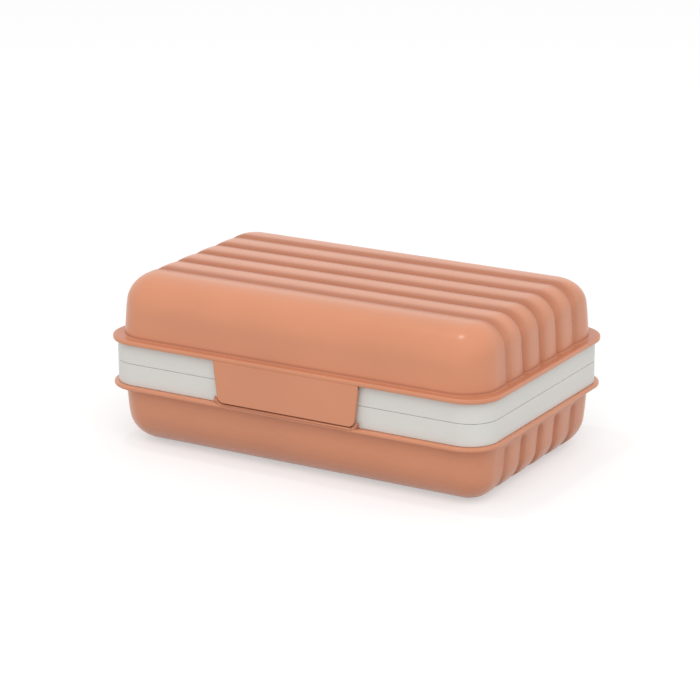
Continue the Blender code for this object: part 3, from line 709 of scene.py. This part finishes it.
class Finish(Nodes):
    """A material's nodes, with noise on the object's own coordinates."""

    def __init__(self, name):
        self.material = bpy.data.materials.new(name)
        self.material.use_nodes = True
        super().__init__(self.material.node_tree)
        self.shader = self.tree.nodes["Principled BSDF"]
        self.place = self.add("ShaderNodeTexCoord").outputs["Object"]

    def set(self, **named):
        for label, value in named.items():
            self.feed(self.shader.inputs[label.replace("_", " ")], value)

    def grain(self, scale, detail=NOISE_DETAIL):
        return self.add("ShaderNodeTexNoise", Vector=self.place, Scale=scale, Detail=detail).outputs["Fac"]

    def spread(self, value, low, high):
        """Maps the middle of a pattern to the range from low to high."""
        return self.add("ShaderNodeMapRange", value, *NOISE_MIDDLE, low, high)


def moulded_plastic(name, tone, roughness, flow):
    """Satin moulded plastic: faint flow marks in its colour, uneven gloss and a fine spark-eroded texture."""
    finish = Finish(name)
    darker = (*[c * (1 - flow) for c in tone], 1)
    lighter = (*[min(1, c * (1 + flow)) for c in tone], 1)
    marks = finish.spread(finish.grain(FLOW_SCALE), 0.0, 1.0)
    tint = finish.add("ShaderNodeMix", settings={"data_type": "RGBA"}, Factor=marks, A=darker, B=lighter)
    gloss = finish.spread(finish.grain(GLOSS_SCALE), *[roughness + more for more in GLOSS_SPREAD])
    texture = finish.grain(TEXTURE_SCALE, TEXTURE_DETAIL)
    bump = finish.add("ShaderNodeBump", Strength=TEXTURE_STRENGTH, Distance=TEXTURE_DEPTH, Height=texture)
    finish.set(Base_Color=tint.outputs["Result"], Roughness=gloss, Normal=bump, IOR=PLASTIC_IOR)
    return finish


def paint_crease_shade(finish):
    """Painted shade: deeper in colour and duller where the mesh is marked, in the valleys between the ribs
    and along the foot of the wall, where light is lost.
    """
    groove = finish.add("ShaderNodeAttribute", settings={"attribute_name": "groove"}).outputs["Fac"]
    tone = finish.shader.inputs["Base Color"].links[0].from_socket
    gloss = finish.shader.inputs["Roughness"].links[0].from_socket
    settings = {"data_type": "RGBA", "blend_type": "MULTIPLY"}
    # Painted shade: the colour is multiplied towards the shade tint by the marked amount
    deeper = finish.add("ShaderNodeMix", settings=settings, Factor=groove, A=tone, B=(*PAINTED_SHADE_TINT, 1))
    duller = finish.sum("MULTIPLY_ADD", groove, GROOVE_DULLNESS, gloss)
    finish.set(Base_Color=deeper.outputs["Result"], Roughness=duller)
    return finish


def terracotta():
    name = "Terracotta plastic"
    if name not in bpy.data.materials:
        # The terracotta carries painted shade in its valleys and along the feet of its walls
        paint_crease_shade(moulded_plastic(name, colours().terracotta, TERRACOTTA_ROUGHNESS, TERRACOTTA_FLOW))
    return bpy.data.materials[name]


def warm_white():
    name = "Warm white plastic"
    if name not in bpy.data.materials:
        moulded_plastic(name, colours().warm_white, WHITE_ROUGHNESS, WHITE_FLOW)
    return bpy.data.materials[name]


def silicone():
    finish = moulded_plastic("Seal silicone", colours().seal_grey, SEAL_ROUGHNESS, SEAL_FLOW)
    finish.set(Subsurface_Weight=SEAL_SCATTER, Subsurface_Scale=SEAL_SCATTER_REACH)
    return finish.material


def drawn_steel():
    """Pin wire: fine lines round it from drawing, and a satin gloss."""
    finish = Finish("Drawn steel")
    lines = finish.add(
        "ShaderNodeTexWave",
        settings={"bands_direction": "X"},
        Vector=finish.place,
        Scale=WIRE_LINES_SCALE,
        Distortion=WIRE_LINES_WANDER,
    )
    gloss = finish.spread(lines.outputs["Fac"], *STEEL_ROUGHNESS)
    finish.set(Base_Color=(*colours().steel, 1), Metallic=1.0, Roughness=gloss)
    return finish.material


def fillet_rows(wall_inset_at, fillet, end_fillet, flat_corner, depth, face_height, sign, stops=()):
    """Outlines round a shell's fillet from its wall to its flat, at a depth inside the outer surface. The
    sign is that of the flat's direction. The ends turn over with a smaller fillet than the long sides."""
    wall_inset = wall_inset_at(face_height - sign * fillet)
    end_wall_inset = wall_inset_at(face_height - sign * end_fillet)
    wall_radius = body_radius(wall_inset)
    stations = rib_stations()
    rows = []
    for slope in quarter(FILLET_STEPS):
        rise = (fillet - depth) * math.sin(slope) - fillet
        height = face_height + sign * rise
        inset = wall_inset + fillet - (fillet - depth) * math.cos(slope)
        end_slope = math.asin(min(max(0, (rise + end_fillet) / (end_fillet - depth)), 1))
        end_start = min(wall_inset_at(height), end_wall_inset)
        end_extra = end_start + end_fillet - (end_fillet - depth) * math.cos(end_slope) - inset
        radius = wall_radius + (flat_corner - wall_radius) * (1 - math.cos(slope)) - depth * math.cos(slope)
        points = plan(height, inset, radius, end_extra, stations=stations, stops=stops)
        rows.append(sinking(points, sign * end_slope, 1.0))
    return rows


def wall_row(inset, height, depth=0.0, part=1.0, stops=()):
    inset += depth
    return sinking(plan(height, inset, body_radius(inset), stations=rib_stations(), stops=stops), 0, part)


def edge_turns(edge):
    """How far in and how far back the points of a rounded edge lie: first into it, then out of it."""
    turn = quarter(EDGE_STEPS)
    into = [(edge * (1 - math.sin(a)), edge * (1 - math.cos(a))) for a in turn]
    return into, [(back, depth) for depth, back in into]


def edge_rows(inset, bottom, top, edge, stops=(), plain_half_width=0.0):
    """Outlines up a flange's rounded edge. Where the latch hangs from it, its lower corner stays square, so
    that the tab goes on from the flange without a groove."""
    corner = sizes().flange_corner
    into, out = edge_turns(edge)
    support = edge * SUPPORT_SHARE
    places = [(support, bottom)] + [(back, bottom + rise) for back, rise in into]
    places += [(back, top - drop) for back, drop in out] + [(support, top)]
    rows = []
    for back, height in places:
        points = plan(height, inset + back, corner - inset - back, stations=rib_stations(), stops=stops)
        if height < (bottom + top) / 2:
            for point in points[len(points) - len(stops):]:
                if abs(point.x) <= plain_half_width:
                    point.y = inset - HALF_WIDTH
        rows.append(sinking(points))
    return rows


def cove_sections(inset_of, face, sign):
    """Inset and height round the small cove between a flange and the wall that leaves it."""
    cove = sizes().foot_cove
    places = [(inset_of(face) - cove * SUPPORT_SHARE, face)]
    for angle in quarter(EDGE_STEPS):
        inset = inset_of(face) - cove * (1 - math.sin(angle))
        places.append((inset, face + sign * cove * (1 - math.cos(angle))))
    for part in COVE_SHARES:
        places.append((inset_of(face + sign * cove * part), face + sign * cove * part))
    return places


def lid_cover():
    """The ribbed upper shell with the thin flange round its foot. Its front has points where the flange's
    lower corner turns square for the latch."""
    s = sizes()
    half = LATCH_HIGH.x + LOOSE_GAP
    stops = (-half - LOOSE_GAP, -half, half, half + LOOSE_GAP)
    fillet = (lid_inset, s.lid_fillet, s.lid_end_fillet, s.lid_flat_corner)
    rows = fillet_rows(*fillet, s.wall, LID_HIGH.z, 1, stops)[::-1]
    for height in (lid_flange_top(), LID_LOW.z):
        rows.append(wall_row(s.lid_foot_inset, height, s.wall, stops=stops))
    rows += edge_rows(0.0, LID_LOW.z, lid_flange_top(), s.flange_round, stops, half)
    for inset, height in cove_sections(lid_inset, lid_flange_top(), 1):
        rows.append(wall_row(inset, height, stops=stops))
    rows += fillet_rows(*fillet, 0.0, LID_HIGH.z, 1, stops)
    # Painted shade runs along the wall's foot, just above the flange
    return dress(ribbed("lid_cover", rows, len(stops), lid_flange_top() + FOOT_SHADE_LINE), terracotta())


def base_wall_rows(depth):
    """Outlines down the base's wall, where the valleys start below the flange and deepen smoothly."""
    s = sizes()
    start = base_flange_bottom() - s.base_valley_start
    rows = []
    for step in range(EDGE_STEPS * 2 + 1):
        part = step / (EDGE_STEPS * 2)
        height = start - s.base_valley_fade * part
        rows.append(wall_row(base_inset(height), height, depth, part * part * (3 - 2 * part)))
    return rows


def bead_path():
    """The line that the bead follows round the latch's lower edge, curling up at its ends."""
    s = sizes()
    radius = s.latch_corner + s.fit_gap + s.bead_radius
    x = latch_foot_half() - s.latch_corner
    z = LATCH_LOW.z + s.latch_corner
    bend = arc(x, z, radius, -90, 90 - BEAD_END_DEGREES, s.bead_radius - HALF_WIDTH)
    right = [Vector((p.x, p.z, p.y)) for p in bend]
    return [Vector((-p.x, p.y, p.z)) for p in reversed(right)] + right


def base_bowl():
    """The lower shell: a bowl with a thin flange, grooved ends, a ribbed underside and the latch's bead."""
    s = sizes()
    fillet = (base_inset, s.base_fillet, s.base_end_fillet, s.base_flat_corner)
    rows = fillet_rows(*fillet, 0.0, BASE_BOTTOM, -1)[::-1] + base_wall_rows(0.0)[::-1]
    for inset, height in cove_sections(base_inset, base_flange_bottom(), -1)[::-1]:
        rows.append(wall_row(inset, height, part=0.0))
    rows += edge_rows(s.base_flange_inset, base_flange_bottom(), base_flange_top(), s.flange_round)
    rows.append(wall_row(s.base_foot_inset, base_flange_top(), s.wall, 0.0))
    rows += base_wall_rows(s.wall) + fillet_rows(*fillet, s.wall, BASE_BOTTOM, -1)
    # Painted shade runs along the wall's foot, just below the flange
    bowl = ribbed("base_bowl", rows, 0, base_flange_bottom() - FOOT_SHADE_LINE)
    bead = round_bars("bead", [bead_path()], s.bead_radius, terracotta(), sides=BEAD_SIDES)
    return dress(change(bowl, "UNION", bead), terracotta())


def rounded_section(corners, rounding):
    """The outlines of a ring, from the corners of its section, each rounded off. A place is a height and an
    inset, then the extra insets of the end and the rear and the extra corner radius, where it has them."""
    corners = [(*corner, 0.0, 0.0, 0.0)[:5] for corner in corners]
    found = []
    for i, corner in enumerate(corners):
        here = Vector(corner)
        ends = []
        for other in (corners[i - 1], corners[(i + 1) % len(corners)]):
            run = Vector(other) - here
            ends.append(here + run * min(rounding / run.to_2d().length, ROUNDING_SHARE))
        for step in range(EDGE_STEPS):
            t = step / (EDGE_STEPS - 1)
            found.append(ends[0] * (1 - t) ** 2 + here * 2 * t * (1 - t) + ends[1] * t**2)
    return found


def ring(name, corners, rounding):
    """A closed ring from the corners of its section: up its outside, in over its top and down its inside."""
    outlines = []
    for height, inset, end_extra, rear_extra, wider in rounded_section(corners, rounding):
        outlines.append(plan(height, inset, body_radius(inset) + wider, end_extra, rear_extra))
    return loft(name, outlines, closed=True)


def spigot_corner(height, wall_inset, depth):
    s = sizes()
    return (height, wall_inset + s.wall + s.fit_gap + depth, s.rib_depth)


def band_corner(height):
    s = sizes()
    end_extra = s.band_end_inset - s.band_inset
    rear_extra = s.band_rear_inset - s.band_inset
    return (height, s.band_inset, end_extra, rear_extra, s.band_corner - body_radius(s.band_inset))


def lid_band_ring():
    """Upper half of the white band: its face, its spigot in the lid and the seal's groove."""
    s = sizes()
    bottom = SEAM + SEAM_HALF
    top = LID_LOW.z - LOOSE_GAP
    groove_outer = HALF_WIDTH - SEAL_HIGH.y - s.fit_gap
    groove_inner = groove_outer + SEAL_WIDTH + 2 * s.fit_gap
    groove_top = SEAL_HIGH.z + s.fit_gap
    lip_top = groove_top + LIP_THICKNESS
    corners = [
        band_corner(bottom),
        band_corner(top),
        spigot_corner(top, s.lid_foot_inset, 0.0),
        spigot_corner(LID_BAND_TOP, lid_inset(LID_BAND_TOP), 0.0),
        spigot_corner(LID_BAND_TOP, lid_inset(LID_BAND_TOP), s.spigot),
        spigot_corner(lip_top, s.lid_foot_inset, s.spigot),
        (lip_top, s.opening_inset),
        (bottom, s.opening_inset),
        (bottom, groove_inner),
        (groove_top, groove_inner),
        (groove_top, groove_outer),
        (bottom, groove_outer),
    ]
    return ring("lid_band", corners, BAND_ROUND)


def base_band_ring():
    """Lower half of the white band: its spigot in the base, its face and the seal's tongue."""
    s = sizes()
    top = SEAM - SEAM_HALF
    bottom = base_flange_top() + LOOSE_GAP
    seal_middle = HALF_WIDTH - SEAL_HIGH.y + SEAL_WIDTH / 2
    tongue_top = SEAL_LOW.z - s.fit_gap / 2
    lip_bottom = top - LIP_THICKNESS
    corners = [
        spigot_corner(BASE_BAND_BOTTOM, base_inset(BASE_BAND_BOTTOM), 0.0),
        spigot_corner(bottom, s.base_foot_inset, 0.0),
        band_corner(bottom),
        band_corner(top),
        (top, seal_middle - TONGUE_HALF),
        (tongue_top, seal_middle - TONGUE_HALF),
        (tongue_top, seal_middle + TONGUE_HALF),
        (top, seal_middle + TONGUE_HALF),
        (top, s.opening_inset),
        (lip_bottom, s.opening_inset),
        spigot_corner(lip_bottom - LIP_THICKNESS, s.base_foot_inset, s.spigot),
        spigot_corner(BASE_BAND_BOTTOM, base_inset(BASE_BAND_BOTTOM), s.spigot),
    ]
    return ring("base_band", corners, BAND_ROUND)


def hinge_bars(name, spans, radius, nose):
    """Round bars on the hinge's axis, between distances from the middle of each hinge, at both hinges."""
    paths = [straight((start, HINGE.y, HINGE.z), (end, HINGE.y, HINGE.z)) for start, end in spans]
    bars = round_bars(name, paths, radius, warm_white(), nose)
    return copies(bars, warm_white(), 2, 1, PIN_LOW.x + PIN_HIGH.x, 0.0)


def knuckle_spans():
    """Where the base's knuckle and the lid's two lie along a hinge, from its middle."""
    base_end = sizes().base_knuckle / 2
    start = base_end + KNUCKLE_SIDE_GAP
    end = start + sizes().lid_knuckle
    return [(-base_end, base_end)], [(start, end), (-end, -start)]


def with_knuckles(band, own, others):
    """Adds a band's own knuckles, and makes room for the other band's and for the pins."""
    s = sizes()
    room = [(start - s.fit_gap, end + s.fit_gap) for start, end in others]
    end = knuckle_spans()[1][0][1] + CUT_OVERRUN
    bore = (PIN_HIGH.z - PIN_LOW.z) / 2 + LOOSE_GAP
    sweep = s.knuckle_radius + s.fit_gap
    band = change(band, "DIFFERENCE", hinge_bars("room", room, sweep, ROOM_NOSE))
    band = change(band, "UNION", hinge_bars("knuckles", own, s.knuckle_radius, KNUCKLE_NOSE))
    return change(band, "DIFFERENCE", hinge_bars("bore", [(-end, end)], bore, BORE_NOSE))


def white_bands():
    """Both halves of the white band, with the hinge knuckles and the ridge that the latch snaps under."""
    own, others = knuckle_spans()
    lid = with_knuckles(lid_band_ring(), others, own)
    base = with_knuckles(base_band_ring(), own, others)
    reach = CATCH_HALF + sizes().fit_gap
    y = sizes().band_inset - HALF_WIDTH
    path = straight((-reach, y, CATCH_HEIGHT), (reach, y, CATCH_HEIGHT))
    ridge = round_bars("ridge", [path], CATCH_RADIUS, warm_white(), sides=BEAD_SIDES)
    base = change(base, "UNION", ridge)
    return dress(lid, warm_white(), level=True), dress(base, warm_white(), level=True)


def gasket():
    """The silicone ring in the lid's groove, with its pressing edge rounded."""
    outer = HALF_WIDTH - SEAL_HIGH.y
    inner = outer + SEAL_WIDTH
    places = ((SEAL_LOW.z, outer), (SEAL_HIGH.z, outer), (SEAL_HIGH.z, inner), (SEAL_LOW.z, inner))
    return dress(ring("gasket", places, SEAL_ROUND), silicone())


def latch_outline():
    """Points up the tab's +X side: place, the way in from it, and whether it is the root in the flange."""
    s = sizes()
    foot = latch_foot_half()
    z = LATCH_LOW.z + s.latch_corner
    side = []
    for angle in quarter(CORNER_STEPS // 2):
        out = Vector((math.sin(angle), -math.cos(angle)))
        side.append((Vector((foot - s.latch_corner, z)) + out * s.latch_corner, -out, False))
    crease = LATCH_HIGH.z - LIVING_HINGE_HEIGHT
    step = (LID_LOW.z - crease) / LIVING_HINGE_STEPS
    heights = [z + (crease - z) * part for part in LATCH_SIDE_SHARES]
    heights += [crease + LOOSE_GAP * 2 + step * n for n in range(LIVING_HINGE_STEPS)] + [LID_LOW.z]
    inwards = Vector((-1, 0))
    for height in heights:
        half = foot + (LATCH_HIGH.x - foot) * (height - z) / (LATCH_HIGH.z - z)
        side.append((Vector((min(half, LATCH_HIGH.x), height)), inwards, False))
    for rise in (LOOSE_GAP / 2, s.lid_flange / 3):
        side.append((Vector((LATCH_HIGH.x - LOOSE_GAP * 4, LID_LOW.z + rise)), inwards, True))
    return side


def latch_flap():
    """The wide tab that goes on down from the lid's flange, with its thin living hinge, its root and the lip
    that catches on the base."""
    s = sizes()
    into, out = edge_turns(LATCH_EDGE)
    outlines = []
    for back, depth, from_back in [(*turn, False) for turn in into] + [(*turn, True) for turn in out]:
        right = []
        for place, way, rooted in latch_outline():
            at = place + way * back
            y = LATCH_LOW.y + depth + (LOOSE_GAP * 2 if rooted else 0)
            if from_back:
                thin = place.y > LATCH_HIGH.z - LIVING_HINGE_HEIGHT
                y = LATCH_LOW.y + (LIVING_HINGE_THICKNESS if thin else s.latch_thickness) - depth
            right.append(Vector((at.x, y, at.y)))
        left = [Vector((-point.x, point.y, point.z)) for point in reversed(right)]
        outlines.append(right + left)
    y = LATCH_HIGH.y - LIP_RADIUS
    z = CATCH_HEIGHT - CATCH_RADIUS - s.fit_gap - LIP_RADIUS
    path = straight((-CATCH_HALF, y, z), (CATCH_HALF, y, z))
    lip = round_bars("lip", [path], LIP_RADIUS, terracotta(), sides=BEAD_SIDES)
    return dress(change(loft("latch_flap", outlines), "UNION", lip), terracotta(), level=True)


def slot_cutter():
    """One round-ended slot through the tray's plate, as a closed cutter."""
    s = sizes()
    radius = s.slot_width / 2
    reach = s.slot_length / 2 - radius
    top = tray_plate_top()
    outlines = []
    for height in (top - s.tray_plate - CUT_OVERRUN, top + CUT_OVERRUN):
        outlines.append(arc(0, reach, radius, 0, 180, height) + arc(0, -reach, radius, 180, 180, height))
    return loft("slots", outlines)


def rack_plate():
    """The tray's plate in its rounded rim, before anything is cut."""
    inset = HALF_LENGTH - TRAY_HIGH.x
    top = tray_plate_top()
    bottom = top - sizes().tray_plate
    rim = [
        (bottom, inset + TRAY_RIM_WIDTH),
        (bottom - TRAY_RIM_DROP, inset + TRAY_RIM_WIDTH),
        (bottom - TRAY_RIM_DROP, inset),
        (TRAY_HIGH.z, inset),
        (TRAY_HIGH.z, inset + TRAY_RIM_WIDTH),
        (top, inset + TRAY_RIM_WIDTH),
    ]
    middle = inset + 3 * TRAY_RIM_WIDTH
    radius = TRAY_CORNER - 2 * TRAY_RIM_WIDTH
    half_turn = EDGE_STEPS // 2
    outlines = [plan(bottom, middle, radius)]
    for height, depth, *_ in rounded_section(rim, TRAY_ROUND)[half_turn:-half_turn]:
        outlines.append(plan(height, depth, TRAY_CORNER - (depth - inset)))
    outlines.append(plan(top, middle, radius))
    return loft("soap_rack", outlines)


def soap_rack():
    """The lift-out rack: a slotted plate in a rounded rim, with ribs between the slots and four legs."""
    s = sizes()
    white = warm_white()
    top = tray_plate_top()
    bottom = top - s.tray_plate
    slots = copies(slot_cutter(), white, SLOT_COLUMNS, 2, s.slot_pitch, s.slot_length + SLOT_WEB)
    rack = change(rack_plate(), "DIFFERENCE", slots)
    low, high = bottom - CUT_OVERRUN, top + CUT_OVERRUN
    fingers = [straight((x, 0, low), (x, 0, high)) for x in (-FINGER_X, FINGER_X)]
    holes = round_bars("holes", fingers, FINGER_RADIUS, white, BORE_NOSE, HOLE_SIDES)
    rack = change(rack, "DIFFERENCE", holes)
    rack = round_edges(rack, TRAY_HOLE_ROUND)
    reach = SLOT_WEB / 2 + s.slot_length
    height = top + RACK_RIB_RISE - RACK_RIB_RADIUS
    path = straight((0, -reach, height), (0, reach, height))
    rib = round_bars("ribs", [path], RACK_RIB_RADIUS, white, sides=RACK_RIB_SIDES)
    rack = change(rack, "UNION", copies(rib, white, SLOT_COLUMNS - 1, 1, s.slot_pitch, 0.0))
    path = straight((0, 0, TRAY_LOW.z), (0, 0, top - s.tray_plate / 2))
    leg = round_bars("leg", [path], LEG_RADIUS, white, LEG_NOSE)
    crest = valleys()[-1] - s.rib_pitch / 2
    rack = change(rack, "UNION", copies(leg, white, 2, 2, 2 * LEG_X, 2 * crest))
    return dress(rack, white, level=True)


def hinge_pins():
    """The steel pins of the two rear hinges, with their ends broken."""
    steel = drawn_steel()
    pins = []
    for side in ("left", "right"):
        low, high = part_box("hinge_pin_" + side)
        path = straight((low.x, HINGE.y, HINGE.z), (high.x, HINGE.y, HINGE.z))
        pin = round_bars("pin_wire_" + side, [path], (high.z - low.z) / 2, steel, PIN_NOSE)
        pins.append(dress(pin, steel))
    return pins


def direct_view(nodes):
    """One for what the camera sees, straight or in a mirror or glass, and nothing for the rest."""
    path = nodes.add("ShaderNodeLightPath").outputs
    seen = nodes.sum("MAXIMUM", path["Is Camera Ray"], path["Is Glossy Ray"])
    return nodes.sum("MAXIMUM", seen, path["Is Transmission Ray"])


def floor_material():
    """White paper: lit as paper on the object, and seen as plain white with a soft shadow."""
    material = bpy.data.materials.new("White paper floor")
    material.use_nodes = True
    material.node_tree.nodes.clear()
    nodes = Nodes(material.node_tree)
    paper = nodes.add("ShaderNodeBsdfDiffuse", (FLOOR_WHITE, FLOOR_WHITE, FLOOR_WHITE, 1))
    shade = nodes.add("ShaderNodeBsdfDiffuse", (FLOOR_SHADE, FLOOR_SHADE, FLOOR_SHADE, 1))
    glow = nodes.add("ShaderNodeEmission", Strength=FLOOR_GLOW)
    seen = nodes.add("ShaderNodeAddShader", shade, glow)
    nodes.add("ShaderNodeOutputMaterial", nodes.add("ShaderNodeMixShader", direct_view(nodes), paper, seen))
    return material


def studio_floor():
    mesh = bpy.data.meshes.new("studio_floor")
    corners = [(x * FLOOR_REACH, y * FLOOR_REACH, 0) for x, y in ((-1, -1), (1, -1), (1, 1), (-1, 1))]
    mesh.from_pydata(corners, [], [(0, 1, 2, 3)])
    mesh.materials.append(floor_material())
    link(bpy.data.objects.new("studio_floor", mesh))


def studio_world():
    world = bpy.data.worlds.new("Studio walls")
    world.use_nodes = True
    nodes = Nodes(world.node_tree)
    walls = world.node_tree.nodes["Background"]
    walls.inputs["Color"].default_value = (1, 1, 1, 1)
    walls.inputs["Strength"].default_value = WALLS_LIGHT
    white = nodes.add("ShaderNodeBackground", (1, 1, 1, 1), 1.0)
    choice = nodes.add("ShaderNodeMixShader", direct_view(nodes), walls, white)
    nodes.feed(world.node_tree.nodes["World Output"].inputs["Surface"], choice)
    bpy.context.scene.world = world


def softbox(name, place, size, power, mirrored=False):
    """A rectangular lamp that faces the middle of the case, and shows in its gloss where it is mirrored."""
    lamp = bpy.data.lights.new(name, "AREA")
    lamp.shape = "RECTANGLE"
    lamp.size, lamp.size_y = size
    lamp.energy = power
    made = link(bpy.data.objects.new(name, lamp))
    made.visible_glossy = mirrored
    made.location = place
    made.rotation_euler = (AIM - Vector(place)).to_track_quat("-Z", "Y").to_euler()


def camera():
    lens = bpy.data.cameras.new("camera")
    lens.lens = CAMERA_LENS
    lens.sensor_width = CAMERA_SENSOR
    lens.clip_start = CAMERA_NEAR
    lens.shift_x, lens.shift_y = CAMERA_SHIFT
    made = link(bpy.data.objects.new("camera", lens))
    turn = math.radians(CAMERA_AZIMUTH)
    rise = math.radians(CAMERA_ELEVATION)
    away = Vector((math.sin(turn) * math.cos(rise), -math.cos(turn) * math.cos(rise), math.sin(rise)))
    made.location = AIM + away * CAMERA_DISTANCE
    facing = (-away).to_track_quat("-Z", "Y") @ Quaternion((0, 0, 1), math.radians(CAMERA_ROLL))
    made.rotation_euler = facing.to_euler()
    bpy.context.scene.camera = made


def stage():
    studio_floor()
    studio_world()
    softbox("Overhead softbox", OVERHEAD_PLACE, OVERHEAD_SIZE, OVERHEAD_POWER)
    softbox("Small lamp", SMALL_LAMP_PLACE, SMALL_LAMP_SIZE, SMALL_LAMP_POWER, mirrored=True)
    camera()
    bpy.context.scene.view_settings.view_transform = "Standard"


def hand_over(made, body, slot, *nodes):
    """Rides a piece on its body, in place of the nodes that it dresses."""
    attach(made, body)
    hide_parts(*nodes)


class SOAP_OT_lid_cover(bpy.types.Operator):
    """Make the ribbed lid with its flange"""

    bl_idname = "soap_case.lid_cover"
    bl_label = "Lid cover"

    def execute(self, context):
        hand_over(lid_cover(), "lid", "lid_plastic", "lid_shell")
        return {"FINISHED"}


class SOAP_OT_base_bowl(bpy.types.Operator):
    """Make the ribbed base with its flange and the latch's bead"""

    bl_idname = "soap_case.base_bowl"
    bl_label = "Base bowl"

    def execute(self, context):
        hand_over(base_bowl(), "base", "base_plastic", "base_shell")
        return {"FINISHED"}


class SOAP_OT_white_bands(bpy.types.Operator):
    """Make both halves of the white band with the hinge knuckles"""

    bl_idname = "soap_case.white_bands"
    bl_label = "White bands"

    def execute(self, context):
        lid, base = white_bands()
        hand_over(lid, "lid", "band_plastic", "lid_liner")
        hand_over(base, "base", "band_plastic", "base_liner")
        return {"FINISHED"}


class SOAP_OT_gasket(bpy.types.Operator):
    """Make the silicone seal in the lid's groove"""

    bl_idname = "soap_case.gasket"
    bl_label = "Gasket"

    def execute(self, context):
        hand_over(gasket(), "lid", "seal_silicone", "lid_seal")
        return {"FINISHED"}


class SOAP_OT_latch_flap(bpy.types.Operator):
    """Make the front tab, with its thin living hinge"""

    bl_idname = "soap_case.latch_flap"
    bl_label = "Latch flap"

    def execute(self, context):
        flap = latch_flap()
        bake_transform(flap)
        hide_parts("front_latch")
        return {"FINISHED"}


class SOAP_OT_soap_rack(bpy.types.Operator):
    """Make the slotted rack that the soap lies on"""

    bl_idname = "soap_case.soap_rack"
    bl_label = "Soap rack"

    def execute(self, context):
        hand_over(soap_rack(), "tray", "tray_plastic", "drain_tray")
        return {"FINISHED"}


class SOAP_OT_hinge_pins(bpy.types.Operator):
    """Make the steel pins of the two rear hinges"""

    bl_idname = "soap_case.hinge_pins"
    bl_label = "Hinge pins"

    def execute(self, context):
        for pin, node in zip(hinge_pins(), ("hinge_pin_left", "hinge_pin_right")):
            hand_over(pin, "base", "pin_steel", node)
        return {"FINISHED"}


class SOAP_OT_stage(bpy.types.Operator):
    """Set the floor, the lights and the camera"""

    bl_idname = "soap_case.stage"
    bl_label = "Floor, lights and camera"

    def execute(self, context):
        stage()
        return {"FINISHED"}


OPERATORS = (
    SOAP_OT_stage,
    SOAP_OT_lid_cover,
    SOAP_OT_base_bowl,
    SOAP_OT_white_bands,
    SOAP_OT_gasket,
    SOAP_OT_latch_flap,
    SOAP_OT_soap_rack,
    SOAP_OT_hinge_pins,
)


class SOAP_PT_case(bpy.types.Panel):
    """Lists the pieces of the soap case"""

    bl_label = "Covered soap dish"
    bl_space_type = "VIEW_3D"
    bl_region_type = "UI"
    bl_category = "Soap dish"

    def draw(self, context):
        for operator in OPERATORS:
            self.layout.operator(operator.bl_idname)
        for group in (context.scene.soap_case_sizes, context.scene.soap_case_colours):
            column = self.layout.column(align=True)
            for name in group.bl_rna.properties.keys():
                if name not in ("rna_type", "name"):
                    column.prop(group, name)


CLASSES = (SoapCaseSizes, SoapCaseColours, *OPERATORS, SOAP_PT_case)


def register():
    for each in CLASSES:
        bpy.utils.register_class(each)
    bpy.types.Scene.soap_case_sizes = PointerProperty(type=SoapCaseSizes)
    bpy.types.Scene.soap_case_colours = PointerProperty(type=SoapCaseColours)


def unregister():
    del bpy.types.Scene.soap_case_colours
    del bpy.types.Scene.soap_case_sizes
    for each in reversed(CLASSES):
        bpy.utils.unregister_class(each)


def main():
    register()
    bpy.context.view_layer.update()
    for operator in OPERATORS:
        group, name = operator.bl_idname.split(".")
        getattr(getattr(bpy.ops, group), name)()


if __name__ == "__main__":
    main()
